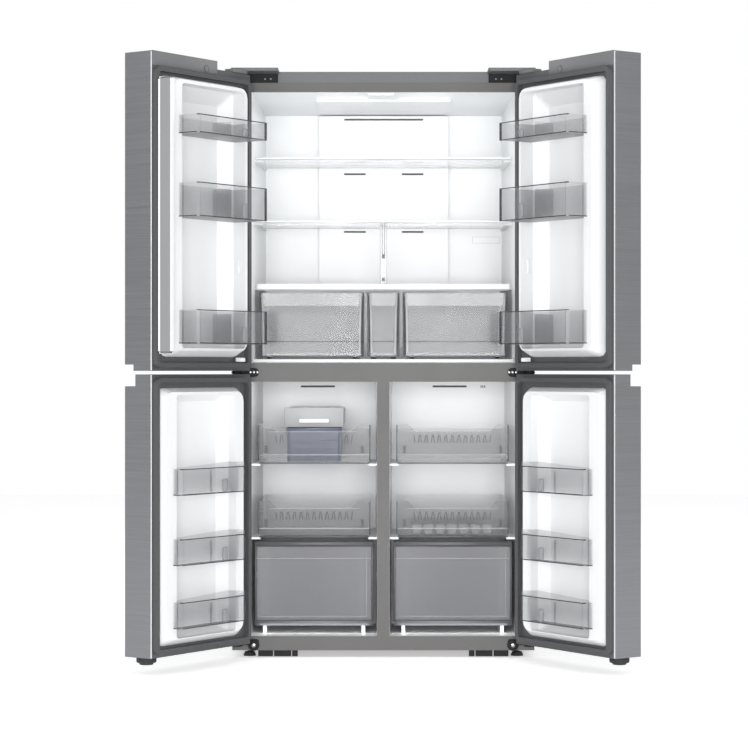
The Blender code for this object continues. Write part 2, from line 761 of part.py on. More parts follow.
def door_solid(low, high, upper, shrink, inner_face):
    """The door's outer form, shrunk on every side but its inner face, which is set by itself."""
    profile = inset(door_profile(low, high, upper), shrink) if shrink else door_profile(low, high, upper)
    back = max(a for a, b in profile)
    profile = [(inner_face if a > back - 1e-6 else a, b) for a, b in profile]
    bm = bmesh.new()
    start, end = -HINGE_FROM_SIDE + shrink, DOOR_WIDTH - HINGE_FROM_SIDE - shrink
    prism(bm, profile, across, start, end)
    front = min(v.co.y for v in bm.verts)
    corner = [
        edge
        for edge in bm.edges
        if all(abs(v.co.y - front) < 1e-6 for v in edge.verts)
        and abs(edge.verts[0].co.x - edge.verts[1].co.x) < 1e-6
    ]
    bmesh.ops.bevel(bm, geom=corner, offset=DOOR_CORNER - shrink, segments=3, profile=0.5, affect="EDGES")
    return bm


def hinge_recess(grow):
    """What is cut from an upper door's top to make room for the hinge arm."""
    bm = bmesh.new()
    end = RECESS_LENGTH - HINGE_FROM_SIDE + grow
    box(bm, (-0.1, -0.2, RECESS_FLOOR - grow), (end, 0.2, UPPER_DOOR[1] + 0.05))
    return bm


def pin_holes(low, high, upper, grow=0.0):
    bm = bmesh.new()
    seat = RECESS_FLOOR if upper else high
    depth = PIN_REACH + 0.002
    radius = PIN_RADIUS + PIN_CLEARANCE + grow
    for start, end in ((low - 0.01, low + depth), (seat - depth, seat + 0.01)):
        rod(bm, (0, 0, start), (0, 0, end), radius)
    return bm


def make_panel(name, side, axis, low, high, upper):
    bm = door_solid(low, high, upper, 0.0, HINGE_FROM_INNER_FACE)
    mirrored(bm, side)
    panel = add_object(name, bm, steel(), axis)
    hollow = door_solid(low, high, upper, SHEET, HINGE_FROM_INNER_FACE + 0.01)
    mirrored(hollow, side)
    if upper:
        cut = hinge_recess(0.0)
        mirrored(cut, side)
        combine(panel, cut, "DIFFERENCE")
    combine(panel, hollow, "DIFFERENCE")
    if upper:
        inside = bpy.data.objects[f"{name}.difference.001"]
        cut = hinge_recess(SHEET)
        mirrored(cut, side)
        combine(inside, cut, "DIFFERENCE")
    holes = pin_holes(low, high, upper)
    combine(panel, holes, "DIFFERENCE")


def door_ring(u, z, p, radius):
    """A rounded rectangle at a height p over the door's inner face."""
    shift = HINGE_FROM_SIDE
    return [(x - shift, HINGE_FROM_INNER_FACE + p, z) for x, z in rounded((u[0], z[0]), (u[1], z[1]), radius)]


def dyke(plan):
    """The raised wall round a door's inside that the bins hang between."""
    (u0, u1), (z0, z1) = plan["u"], plan["z"]
    narrow = (u0 + DYKE_SLOPE, u1 - DYKE_FREE_SLOPE)
    low = (z0 + DYKE_SLOPE, z1 - DYKE_FREE_SLOPE)
    bm = bmesh.new()
    foot, top = RIM - 0.001, plan["height"]
    stack(bm, [door_ring((u0, u1), (z0, z1), foot, DYKE_CORNER), door_ring(narrow, low, top, DYKE_CORNER)])
    return bm


def pocket(plan):
    """The hollow inside the dyke: straight where the bins hang, then sloping to its floor."""
    (u0, u1), (z0, z1) = plan["inner_u"], plan["inner_z"]
    mouth = [door_ring((u0, u1), (z0, z1), p, POCKET_CORNER) for p in (plan["height"] + 0.01, RIM)]
    side, over, under = plan["floor_inset"]
    floor = door_ring((u0 + side, u1 - side), (z0 + under, z1 - over), -plan["floor_depth"], POCKET_CORNER)
    bm = bmesh.new()
    stack(bm, [*mouth, floor])
    return bm


def make_door_liner(name, side, axis, low, high, upper, has_flipper):
    grow = SHEET + SEAT
    bm = door_solid(low, high, upper, grow, HINGE_FROM_INNER_FACE + RIM)
    mirrored(bm, side)
    made = add_object(name, bm, white_plastic(), axis)
    if upper:
        cut = hinge_recess(grow)
        mirrored(cut, side)
        combine(made, cut, "DIFFERENCE")
    combine(made, pin_holes(low, high, upper, 0.001), "DIFFERENCE")
    plan = UPPER_DYKE if upper else LOWER_DYKE
    for shape, operation in ((dyke(plan), "UNION"), (pocket(plan), "DIFFERENCE")):
        mirrored(shape, side)
        combine(made, shape, operation)
    if has_flipper:
        lugs = bmesh.new()
        pivot = flipper_pivot()
        start = UPPER_DYKE_U[1] - DYKE_FREE_SLOPE - FLIPPER_LUG - HINGE_FROM_SIDE
        for near, far, pin in (
            (FLIPPER_TOP + SEAT, FLIPPER_TOP + FLIPPER_LUG, FLIPPER_TOP - 0.006),
            (FLIPPER_BOTTOM - FLIPPER_LUG, FLIPPER_BOTTOM - SEAT, FLIPPER_BOTTOM + 0.006),
        ):
            box(lugs, (start, pivot[1] - 0.008, near), (pivot[0] + 0.005, pivot[1] + 0.008, far))
            rod(lugs, (*pivot, (near + far) / 2), (*pivot, pin), FLIPPER_PIN, sides=12)
        combine(made, lugs, "UNION")


def make_gasket(name, side, axis, low, high):
    y0 = HINGE_FROM_INNER_FACE + RIM + SEAT
    y1 = HINGE_FROM_INNER_FACE + DOOR_STANDOFF - FLANGE_THICKNESS - 2 * SEAT
    left = GASKET_HINGE_EDGE - HINGE_FROM_SIDE
    right = DOOR_WIDTH - GASKET_EDGE - HINGE_FROM_SIDE
    outer = rounded((left, low), (right, high), GASKET_WIDTH + GASKET_CORNER)
    inner = inset(outer, GASKET_WIDTH)
    bm = bmesh.new()
    loops = [(outer, y0), (outer, y1), (inner, y1), (inner, y0)]
    stack(bm, [[(x, y, z) for x, z in line] for line, y in loops], ring=True)
    mirrored(bm, side)
    add_object(name, bm, rubber(), axis)


def make_bin(name, side, slider, plan, reach, low, high, rise):
    """A door bin: its back sits between the dyke's walls, its front overhangs them."""
    shift = HINGE_FROM_SIDE
    y0 = HINGE_FROM_INNER_FACE + RIM + 2 * SEAT
    y1 = HINGE_FROM_INNER_FACE + plan["height"] + SEAT
    y2 = HINGE_FROM_INNER_FACE + reach
    left, right = plan["inner_u"][0] - shift + 2 * SEAT, plan["inner_u"][1] - shift - 2 * SEAT
    ear = BIN_EAR
    bend = left - ear + 0.05
    outline = [
        (left, y0),
        (right, y0),
        (right, y1),
        (right + ear, y1),
        (right + ear, y2 - 0.008),
        (right + ear - 0.008, y2),
        (bend, y2),
        (left - ear + 0.008, y2),
        (left - ear, y2 - 0.008),
        (left - ear, y1),
        (left, y1),
    ]
    bm = bmesh.new()
    tray(bm, outline, low, lambda a, b: high + (rise if a < left + 0.001 else 0.0))
    mirrored(bm, side)
    add_object(name, bm, clear_plastic(), slider)


def flipper_pivot():
    u = (FLIPPER_U[0] + FLIPPER_U[1]) / 2 - HINGE_FROM_SIDE
    p = FLIPPER_P[0] + (FLIPPER_U[1] - FLIPPER_U[0]) / 2
    return (u, HINGE_FROM_INNER_FACE + p)


def make_flipper(door):
    pivot = flipper_pivot()
    turn = empty("flipper_axis", door, (*pivot, 0))
    half = (FLIPPER_U[1] - FLIPPER_U[0]) / 2
    outline = rounded((-half, -half), (half, FLIPPER_P[1] - FLIPPER_P[0] - half), 0.003)
    bm = bmesh.new()
    prism(bm, outline, upright, FLIPPER_BOTTOM, FLIPPER_TOP)
    made = add_object("mullion_flipper", bm, grey_steel(), turn)
    holes = bmesh.new()
    for end, inwards in ((FLIPPER_BOTTOM, 1), (FLIPPER_TOP, -1)):
        start, stop = sorted((end - inwards * 0.01, end + inwards * 0.008))
        rod(holes, (0, 0, start), (0, 0, stop), FLIPPER_PIN + PIN_CLEARANCE, sides=12)
    combine(made, holes, "DIFFERENCE")


def make_door(row, side_name, cabinet):
    side = SIDES[side_name]
    upper = row == "upper"
    low, high = UPPER_DOOR if upper else LOWER_DOOR
    plan = UPPER_DYKE if upper else LOWER_DYKE
    name = f"{row}_door_{side_name}"
    turn = side * math.radians(DOOR_OPEN_DEG)
    axis = empty(f"{name}_axis", cabinet, (side * HINGE_X, HINGE_Y, 0), turn)
    make_panel(f"{name}_panel", side, axis, low, high, upper)
    has_flipper = upper and side == LEFT
    make_door_liner(f"{name}_liner", side, axis, low, high, upper, has_flipper)
    seal = UPPER_SEAL if upper else LOWER_SEAL
    make_gasket(f"{name}_gasket", side, axis, *seal)
    if has_flipper:
        make_flipper(axis)
    reach = UPPER_BIN_REACH if upper else LOWER_BIN_REACH
    rise = 0.0 if upper else LOWER_BIN_RISE
    for place, (bottom, top) in zip(("top", "middle", "bottom"), UPPER_BINS if upper else LOWER_BINS):
        make_bin(f"{name}_bin_{place}", side, axis, plan, reach, bottom, top, rise)


# ---------------------------------------------------------------- inside the fridge


def shelf(name, left, right, top, cabinet, extra=None):
    """A glass shelf with a front trim and a back lip; left and right give its ends at a depth."""
    front, back = SHELF_FRONT, SHELF_BACK
    under = top - SHELF_THICKNESS
    lip = 0.006
    profile = [
        (front, top - SHELF_TRIM),
        (front + 0.012, top - SHELF_TRIM),
        (front + 0.012, under),
        (back, under),
        (back, top + lip),
        (back - lip, top + lip),
        (back - lip, top),
        (front, top),
    ]
    bm = bmesh.new()
    stack(bm, [[(end(y), y, z) for y, z in profile] for end in (left, right)])
    made = add_object(name, bm, shelf_glass(), cabinet)
    if extra:
        combine(made, extra, "UNION")


def post_and_dividers():
    """The post that carries the split shelf, and the walls between the crispers."""
    bm = bmesh.new()
    front = SHELF_FRONT + 0.014
    outline = rounded((-POST_HALF_WIDTH, front), (POST_HALF_WIDTH, front + 0.018), 0.004)
    prism(bm, outline, upright, CRISPER_COVER_TOP - 0.001, MIDDLE_SHELF_TOP - SHELF_THICKNESS - SEAT)
    for side in SIDES.values():
        x = side * (CRISPER_SPLIT + SLIDE_FIT + DIVIDER / 2)
        low = (x - DIVIDER / 2, SHELF_FRONT + 0.002, CRISPER_BOTTOM + 0.03)
        box(bm, low, (x + DIVIDER / 2, SHELF_BACK - 0.002, CRISPER_COVER_TOP - SHELF_THICKNESS + 0.001))
    return bm


def make_shelves(cabinet):
    def wall(side):
        return lambda y: side * (fridge_half_width(y) - SLIDE_FIT)

    def middle(side):
        return lambda y: side * 0.001

    shelf("shelf_upper", wall(LEFT), wall(RIGHT), UPPER_SHELF_TOP, cabinet)
    shelf("shelf_middle_left", wall(LEFT), middle(LEFT), MIDDLE_SHELF_TOP, cabinet)
    shelf("shelf_middle_right", middle(RIGHT), wall(RIGHT), MIDDLE_SHELF_TOP, cabinet)
    shelf("crisper_cover", wall(LEFT), wall(RIGHT), CRISPER_COVER_TOP, cabinet, post_and_dividers())


def side_draft(y):
    """How much nearer the side wall stands at a depth than at the front of the shelves."""
    return fridge_half_width(SHELF_FRONT) - fridge_half_width(y)


def make_crispers(cabinet):
    side_start = CRISPER_SPLIT + 2 * SLIDE_FIT + DIVIDER
    spans = {
        "left": (-CRISPER_OUTER, -side_start),
        "middle": (-CRISPER_SPLIT, CRISPER_SPLIT),
        "right": (side_start, CRISPER_OUTER),
    }
    for place, (left, right) in spans.items():
        bm = bmesh.new()
        outline = rounded((left, SHELF_FRONT), (right, CRISPER_BACK), 0.008, 2)
        outline = [
            (math.copysign(abs(x) - side_draft(y), x) if abs(x) > CRISPER_OUTER - 0.01 else x, y)
            for x, y in outline
        ]
        tray(bm, outline, CRISPER_BOTTOM, CRISPER_TOP, draft=0.003)
        add_object(f"crisper_{place}", bm, clear_plastic(), cabinet)


def make_duct_cover(cabinet):
    back = COMPARTMENT_DEPTH - SEAT
    front = back - DUCT_THICKNESS
    bm = bmesh.new()
    outline = rounded((-DUCT_HALF_WIDTH, CRISPER_COVER_TOP + 0.004), (DUCT_HALF_WIDTH, DUCT_TOP), 0.012)
    prism(bm, outline, lambda a, b, h: (a, h, b), front, back)
    made = add_object("duct_cover", bm, white_plastic(), cabinet)
    slots = bmesh.new()
    reach = (front - DUCT_SLOT_DEPTH, front + DUCT_SLOT_DEPTH)
    box(slots, (-TOP_SLOT_HALF, reach[0], TOP_SLOT_Z[0]), (TOP_SLOT_HALF, reach[1], TOP_SLOT_Z[1]))
    for z in WALL_SLOT_Z:
        for side in SIDES.values():
            low, high = sorted(side * x for x in WALL_SLOT_X)
            half = WALL_SLOT_HEIGHT / 2
            box(slots, (low, reach[0], z - half), (high, reach[1], z + half))
    combine(made, slots, "DIFFERENCE")


def make_light_bar(cabinet):
    front, back = LIGHT_BAR_Y
    profile = [
        (front, fridge_ceiling(front) - SEAT),
        (back, fridge_ceiling(back) - SEAT),
        (back, fridge_ceiling(back) - LIGHT_BAR_DROP),
        (front, fridge_ceiling(front) - LIGHT_BAR_DROP),
    ]
    bm = bmesh.new()
    prism(bm, profile, across, -LIGHT_BAR_HALF, LIGHT_BAR_HALF)
    add_object("light_bar", bm, white_plastic(), cabinet)


# ---------------------------------------------------------------- inside the freezers


def freezer_box(name, parent, near, far, back, bottom, sides_top, dip_top, side, dip_back):
    """A pull-out box whose front edge dips between two raised ends."""
    front = FREEZER_FRONT
    ends = (0.0, 0.10, 0.17, 0.83, 0.90, 1.0)
    width = far - near
    fronts = [(near + width * end, front) for end in ends]
    outline = fronts + [(far, back), (near, back)]
    dips = {round(near + width * end, 6) for end in ends[2:4]}

    def top(x, y):
        at_front = y < front + 2 * BOX_WALL
        if at_front and min(abs(x - dip) for dip in dips) < 0.004:
            return dip_top
        if dip_back and y > back - 2 * BOX_WALL:
            return dip_top
        return sides_top

    bm = bmesh.new()
    tray(bm, outline, bottom, top, draft=0.003)
    mirrored(bm, side)
    add_object(name, bm, clear_plastic(), parent)


def make_freezer_boxes(cabinet):
    for side_name, side in SIDES.items():
        for place, (bottom, sides_top, dip) in (("upper", TRAY_UPPER), ("middle", TRAY_MIDDLE)):
            name = f"freezer_tray_{place}_{side_name}"
            near, far = -TRAY_OUTER, -TRAY_INNER
            freezer_box(name, cabinet, near, far, FREEZER_BACK, bottom, sides_top, dip, side, place == "upper")
        name = f"freezer_drawer_{side_name}"
        near, far = -DRAWER_OUTER, -DRAWER_INNER
        top = DRAWER_TOP
        freezer_box(name, cabinet, near, far, DRAWER_BACK, DRAWER_BOTTOM, top, top - 0.004, side, False)


def make_ice_maker(cabinet):
    bm = bmesh.new()
    low, high = ICE_MAKER_Z
    outline = rounded((ICE_MAKER_X[0], low), (ICE_MAKER_X[1], high), 0.010)
    prism(bm, outline, lambda a, b, h: (a, h, b), ICE_MAKER_FRONT, COMPARTMENT_DEPTH - SEAT)
    add_object("ice_maker", bm, white_plastic(), cabinet)
    bm = bmesh.new()
    outline = rounded((ICE_BOX_X[0], ICE_BOX_Y[0]), (ICE_BOX_X[1], ICE_BOX_Y[1]), 0.012, 2)
    tray(bm, outline, TRAY_UPPER[0] + BOX_WALL + SEAT, ICE_BOX_TOP, draft=0.004)
    add_object("ice_box", bm, ice_plastic(), cabinet)


# ---------------------------------------------------------------- floor contact


def make_foot(name, side, cabinet):
    axis = empty(f"{name}_axis", cabinet, (side * FOOT_X, FOOT_Y, 0))
    bm = bmesh.new()
    rings = [(FOOT_RADIUS, 0), (FOOT_RADIUS, FOOT_RIM), (FOOT_RADIUS - FOOT_BEVEL, FOOT_HEIGHT)]
    rings += [(STUD_NECK, FOOT_HEIGHT + 0.002), (STUD_RADIUS, FOOT_HEIGHT + 0.0025), (STUD_RADIUS, STUD_TOP)]
    turns = [2 * math.pi * k / 20 for k in range(20)]
    stack(bm, [[(r * math.cos(t), r * math.sin(t), z) for t in turns] for r, z in rings])
    add_object(name, bm, black_steel(), axis)


def make_rollers(cabinet):
    """Two rollers fixed to one axle, as a single turned piece along X."""
    axis = empty("roller_axis", cabinet, (0, ROLLER_Y, ROLLER_RADIUS))
    half = ROLLER_WIDTH / 2
    end = ROLLER_X + half + 0.006
    wheel = ((AXLE_RADIUS, half), (ROLLER_RADIUS, half), (ROLLER_RADIUS, -half), (AXLE_RADIUS, -half))
    right = [(radius, ROLLER_X - offset) for radius, offset in wheel]
    left = [(radius, -ROLLER_X - offset) for radius, offset in wheel]
    rings = [(AXLE_RADIUS, -end), *left, *right, (AXLE_RADIUS, end)]
    turns = [2 * math.pi * k / 28 for k in range(28)]
    bm = bmesh.new()
    stack(bm, [[(at, r * math.cos(t), r * math.sin(t)) for t in turns] for r, at in rings])
    add_object("rear_rollers", bm, grey_plastic(), axis)


# ---------------------------------------------------------------- assembly


def frame_offset():
    """Puts the frame's origin under the middle of the whole object, with its doors open."""
    angle = math.radians(DOOR_OPEN_DEG)
    u = FLIPPER_U[1] - HINGE_FROM_SIDE
    y = HINGE_FROM_INNER_FACE + FLIPPER_P[1]
    front = HINGE_Y - u * math.sin(angle) + y * math.cos(angle)
    return -(CABINET_DEPTH + front) / 2


def build():
    clear_scene()
    cabinet = empty("refrigerator", None, (0, frame_offset(), 0))
    make_outer_case(cabinet)
    make_front_frame(cabinet)
    make_insulation(cabinet)
    make_fridge_liner(cabinet)
    make_top_cover(cabinet)
    make_base_frame(cabinet)
    make_compressor(cabinet)
    for side_name, side in SIDES.items():
        make_top_hinge(f"top_hinge_{side_name}", side, cabinet)
        make_mid_hinge(f"middle_hinge_{side_name}", side, cabinet)
        make_bottom_hinge(f"bottom_hinge_{side_name}", side, cabinet)
        make_foot(f"levelling_foot_{side_name}", side, cabinet)
        make_freezer_liner(f"freezer_liner_{side_name}", side, cabinet)
        for row in ("upper", "lower"):
            make_door(row, side_name, cabinet)
    make_rollers(cabinet)
    make_shelves(cabinet)
    make_crispers(cabinet)
    make_duct_cover(cabinet)
    make_light_bar(cabinet)
    make_freezer_boxes(cabinet)
    make_ice_maker(cabinet)


build()
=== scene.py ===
# %% [markdown]
# # A french door refrigerator, dressed for a studio
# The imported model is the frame: every body, node and joint is already in its place. This script
# gives the steel, enamel and plastic their finishes and adds the pieces that are only looks.

# %% Load the frame
import json
import math

import bmesh
import bpy
from mathutils import Matrix, Vector


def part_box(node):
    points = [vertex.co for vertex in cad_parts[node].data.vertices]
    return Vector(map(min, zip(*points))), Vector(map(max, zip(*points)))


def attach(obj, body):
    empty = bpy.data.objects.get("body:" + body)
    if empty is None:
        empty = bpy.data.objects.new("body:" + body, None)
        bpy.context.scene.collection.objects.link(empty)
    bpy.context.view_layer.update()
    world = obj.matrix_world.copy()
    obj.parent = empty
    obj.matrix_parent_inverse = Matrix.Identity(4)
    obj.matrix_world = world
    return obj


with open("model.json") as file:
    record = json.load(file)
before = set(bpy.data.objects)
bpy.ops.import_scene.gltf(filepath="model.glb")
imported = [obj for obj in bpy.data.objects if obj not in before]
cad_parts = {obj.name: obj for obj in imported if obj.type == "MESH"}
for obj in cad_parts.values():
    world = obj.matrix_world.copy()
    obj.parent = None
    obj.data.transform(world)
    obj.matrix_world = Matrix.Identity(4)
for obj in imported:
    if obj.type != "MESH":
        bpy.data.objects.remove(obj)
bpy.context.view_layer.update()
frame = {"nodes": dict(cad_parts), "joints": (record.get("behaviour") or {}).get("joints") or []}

# %% [markdown]
# ## The working frames
# The doors stand open at rest, so a piece on a door is drawn in the door's own space and then
# swung out with it. That space has u along the door from its hinge side, p out from its inner
# face towards the food, and z up. The hinge joints say where each door turns and how far it is open.

# %% Places read from the frame
LEFT, RIGHT = -1, 1
SIDES = {"left": LEFT, "right": RIGHT}
JOINTS = {joint["name"]: joint for joint in frame["joints"]}
FACE_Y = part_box("front_frame")[0][1]
CASE_LOW, CASE_HIGH = (Vector(corner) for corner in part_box("outer_case"))
OPENED = math.radians(-JOINTS["upper_door_left_hinge"]["range_deg"][0])


def door_matrix(body):
    """Turns door space, measured from the hinge axis, into the world."""
    joint = JOINTS[f"{body}_hinge"]
    side = LEFT if body.endswith("left") else RIGHT
    place = Matrix.Translation((joint["pos_m"][0], joint["pos_m"][1], 0))
    mirror = Matrix.Diagonal((-side, 1, 1, 1))
    return place @ Matrix.Rotation(side * OPENED, 4, "Z") @ mirror


def door_box(body, node):
    """Lowest and highest corners of a CAD node in its door's space."""
    back = door_matrix(body).inverted()
    points = [back @ v.co for v in frame["nodes"][node].data.vertices]
    return (
        Vector(min(p[i] for p in points) for i in range(3)),
        Vector(max(p[i] for p in points) for i in range(3)),
    )


PANEL_LOW, PANEL_HIGH = door_box("upper_door_left", "upper_door_left_panel")
print("door space", PANEL_LOW, PANEL_HIGH)

# %% [markdown]
# ## Making a piece
# Each new piece is a bmesh turned into an object. A door piece is moved into the world before it
# becomes an object, so that every object keeps its origin at the world's and its place in its mesh.

# %% Helpers for pieces
def to_object(name, bm, finish, body, matrix=None, smooth=35):
    if matrix is not None:
        bmesh.ops.transform(bm, matrix=matrix, verts=bm.verts)
    bmesh.ops.remove_doubles(bm, verts=bm.verts, dist=1e-6)
    bmesh.ops.recalc_face_normals(bm, faces=bm.faces)
    mesh = bpy.data.meshes.new(name)
    bm.to_mesh(mesh)
    bm.free()
    for each in finish if isinstance(finish, (list, tuple)) else [finish]:
        mesh.materials.append(each)
    mesh.shade_smooth()
    mesh.set_sharp_from_angle(angle=math.radians(smooth))
    made = bpy.data.objects.new(name, mesh)
    bpy.context.scene.collection.objects.link(made)
    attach(made, body)
    return made


def block(bm, low, high, bevel=0.0, segments=2):
    """A box between two corners with softened edges."""
    made = bmesh.ops.create_cube(bm, size=1.0)["verts"]
    centre = [(a + b) / 2 for a, b in zip(low, high)]
    size = [b - a for a, b in zip(low, high)]
    bmesh.ops.scale(bm, vec=size, verts=made)
    bmesh.ops.translate(bm, vec=centre, verts=made)
    if bevel:
        edges = list({edge for vert in made for edge in vert.link_edges})
        bmesh.ops.bevel(
            bm, geom=edges, offset=bevel, segments=segments, profile=0.5, affect="EDGES", material=-1
        )


def disc(bm, centre, axis, radius, thickness, bevel=0.0, sides=32):
    """A short cylinder whose axis points along X, Y or Z."""
    turn = {"X": Matrix.Rotation(math.pi / 2, 4, "Y"), "Y": Matrix.Rotation(math.pi / 2, 4, "X")}
    matrix = Matrix.Translation(centre) @ turn.get(axis, Matrix.Identity(4))
    made = bmesh.ops.create_cone(
        bm, cap_ends=True, segments=sides, radius1=radius, radius2=radius, depth=thickness, matrix=matrix
    )["verts"]
    if bevel:
        faces = {face for vert in made for face in vert.link_faces if len(face.verts) > 4}
        edges = list({edge for face in faces for edge in face.edges})
        bmesh.ops.bevel(bm, geom=edges, offset=bevel, segments=2, profile=0.5, affect="EDGES", material=-1)

# %% [markdown]
# ## Shared effects
# Three effects turn up in most finishes: the drawn grain of brushed sheet metal, the slow change of
# tone that keeps a large panel from looking like one flat number, and the fine pebble of moulded
# plastic. Each is one node group with named sockets, used by many materials with its own values.

# %% Effect groups
def new_group(name, inputs, outputs):
    group = bpy.data.node_groups.new(name, "ShaderNodeTree")
    for label, kind, value in inputs:
        socket = group.interface.new_socket(name=label, in_out="INPUT", socket_type=kind)
        if value is not None:
            socket.default_value = value
    for label, kind in outputs:
        group.interface.new_socket(name=label, in_out="OUTPUT", socket_type=kind)
    return group, group.nodes.new("NodeGroupInput"), group.nodes.new("NodeGroupOutput")


def node(tree, kind, **settings):
    made = tree.nodes.new(kind)
    for key, value in settings.items():
        setattr(made, key, value)
    return made


def brushed_grain():
    """Long level streaks: the noise is squeezed hard in Z and drawn out in X and Y."""
    inputs = [("Fineness", "NodeSocketFloat", 900.0), ("Run", "NodeSocketFloat", 4.0)]
    group, given, out = new_group("Brushed grain", inputs, [("Streaks", "NodeSocketFloat")])
    place = node(group, "ShaderNodeTexCoord")
    stretch = node(group, "ShaderNodeCombineXYZ")
    for axis, source in (("X", "Run"), ("Y", "Run"), ("Z", "Fineness")):
        group.links.new(given.outputs[source], stretch.inputs[axis])
    scaled = node(group, "ShaderNodeVectorMath", operation="MULTIPLY")
    noise = node(group, "ShaderNodeTexNoise")
    noise.inputs["Scale"].default_value = 1.0
    noise.inputs["Detail"].default_value = 3.0
    group.links.new(place.outputs["Object"], scaled.inputs[0])
    group.links.new(stretch.outputs["Vector"], scaled.inputs[1])
    group.links.new(scaled.outputs["Vector"], noise.inputs["Vector"])
    group.links.new(noise.outputs["Fac"], out.inputs["Streaks"])
    return group


def slow_tone():
    """Shifts a colour a little lighter and darker over hand-sized patches."""
    inputs = [
        ("Colour", "NodeSocketColor", None),
        ("Patch", "NodeSocketFloat", 3.0),
        ("Depth", "NodeSocketFloat", 0.06),
    ]
    group, given, out = new_group("Slow tone", inputs, [("Colour", "NodeSocketColor")])
    place = node(group, "ShaderNodeTexCoord")
    noise = node(group, "ShaderNodeTexNoise")
    noise.inputs["Detail"].default_value = 2.0
    centred = node(group, "ShaderNodeMath", operation="SUBTRACT")
    centred.inputs[1].default_value = 0.5
    deep = node(group, "ShaderNodeMath", operation="MULTIPLY")
    gain = node(group, "ShaderNodeMath", operation="ADD")
    gain.inputs[1].default_value = 1.0
    tinted = node(group, "ShaderNodeVectorMath", operation="SCALE")
    group.links.new(place.outputs["Object"], noise.inputs["Vector"])
    group.links.new(given.outputs["Patch"], noise.inputs["Scale"])
    group.links.new(noise.outputs["Fac"], centred.inputs[0])
    group.links.new(centred.outputs[0], deep.inputs[0])
    group.links.new(given.outputs["Depth"], deep.inputs[1])
    group.links.new(deep.outputs[0], gain.inputs[0])
    group.links.new(given.outputs["Colour"], tinted.inputs[0])
    group.links.new(gain.outputs[0], tinted.inputs["Scale"])
    group.links.new(tinted.outputs["Vector"], out.inputs["Colour"])
    return group


def fine_pebble():
    """The height of a moulded or powder-coated surface, and a gentle change of its gloss."""
    inputs = [
        ("Scale", "NodeSocketFloat", 700.0), ("Gloss", "NodeSocketFloat", 0.3),
        ("Change", "NodeSocketFloat", 0.08),
    ]
    outputs = [("Height", "NodeSocketFloat"), ("Roughness", "NodeSocketFloat")]
    group, given, out = new_group("Fine pebble", inputs, outputs)
    place = node(group, "ShaderNodeTexCoord")
    pebble = node(group, "ShaderNodeTexNoise")
    patches = node(group, "ShaderNodeTexNoise")
    patches.inputs["Scale"].default_value = 9.0
    change = node(group, "ShaderNodeMath", operation="MULTIPLY")
    gloss = node(group, "ShaderNodeMath", operation="ADD")
    for noise in (pebble, patches):
        group.links.new(place.outputs["Object"], noise.inputs["Vector"])
    group.links.new(given.outputs["Scale"], pebble.inputs["Scale"])
    group.links.new(patches.outputs["Fac"], change.inputs[0])
    group.links.new(given.outputs["Change"], change.inputs[1])
    group.links.new(change.outputs[0], gloss.inputs[0])
    group.links.new(given.outputs["Gloss"], gloss.inputs[1])
    group.links.new(pebble.outputs["Fac"], out.inputs["Height"])
    group.links.new(gloss.outputs[0], out.inputs["Roughness"])
    return group


GRAIN, TONE, PEBBLE = brushed_grain(), slow_tone(), fine_pebble()

# %% [markdown]
# ## Finishes
# Sheet steel gets the grain in its gloss and its bump. Enamel and plastic get the pebble. Clear
# plastic is thin, so it is a tinted film that lets light through by its alpha, which keeps a tray
# readable behind another tray, with its rims made a shade darker by pieces of their own.

# %% Material helpers
def base_material(name, **sockets):
    made = bpy.data.materials.new(name)
    made.use_nodes = True
    shader = made.node_tree.nodes["Principled BSDF"]
    for label, value in sockets.items():
        shader.inputs[label.replace("_", " ")].default_value = value
    return made, made.node_tree, shader


def use_group(tree, group, **values):
    made = tree.nodes.new("ShaderNodeGroup")
    made.node_tree = group
    for label, value in values.items():
        made.inputs[label].default_value = value
    return made


def toned(tree, shader, colour, patch, depth):
    tone = use_group(tree, TONE, Colour=(*colour, 1.0), Patch=patch, Depth=depth)
    tree.links.new(tone.outputs["Colour"], shader.inputs["Base Color"])


def bumped(tree, shader, height, strength, distance):
    bump = node(tree, "ShaderNodeBump")
    bump.inputs["Strength"].default_value = strength
    bump.inputs["Distance"].default_value = distance
    tree.links.new(height, bump.inputs["Height"])
    tree.links.new(bump.outputs["Normal"], shader.inputs["Normal"])


def brushed_metal(name, colour, roughness, spread, streak_tone=0.10, fineness=900.0):
    made, tree, shader = base_material(name, Metallic=1.0)
    grain = use_group(tree, GRAIN, Fineness=fineness, Run=5.0)
    shine = node(tree, "ShaderNodeMapRange")
    shine.inputs["From Min"].default_value = 0.25
    shine.inputs["From Max"].default_value = 0.75
    shine.inputs["To Min"].default_value = roughness
    shine.inputs["To Max"].default_value = roughness + spread
    tree.links.new(grain.outputs["Streaks"], shine.inputs["Value"])
    tree.links.new(shine.outputs["Result"], shader.inputs["Roughness"])
    tone = use_group(tree, TONE, Colour=(*colour, 1.0), Patch=2.0, Depth=0.05)
    streak = node(tree, "ShaderNodeMapRange")
    streak.inputs["From Min"].default_value = 0.3
    streak.inputs["From Max"].default_value = 0.7
    streak.inputs["To Min"].default_value = 1.0 - streak_tone
    streak.inputs["To Max"].default_value = 1.0 + streak_tone
    scaled = node(tree, "ShaderNodeVectorMath", operation="SCALE")
    tree.links.new(grain.outputs["Streaks"], streak.inputs["Value"])
    tree.links.new(tone.outputs["Colour"], scaled.inputs[0])
    tree.links.new(streak.outputs["Result"], scaled.inputs["Scale"])
    tree.links.new(scaled.outputs["Vector"], shader.inputs["Base Color"])
    bumped(tree, shader, grain.outputs["Streaks"], 0.12, 0.0002)
    return made


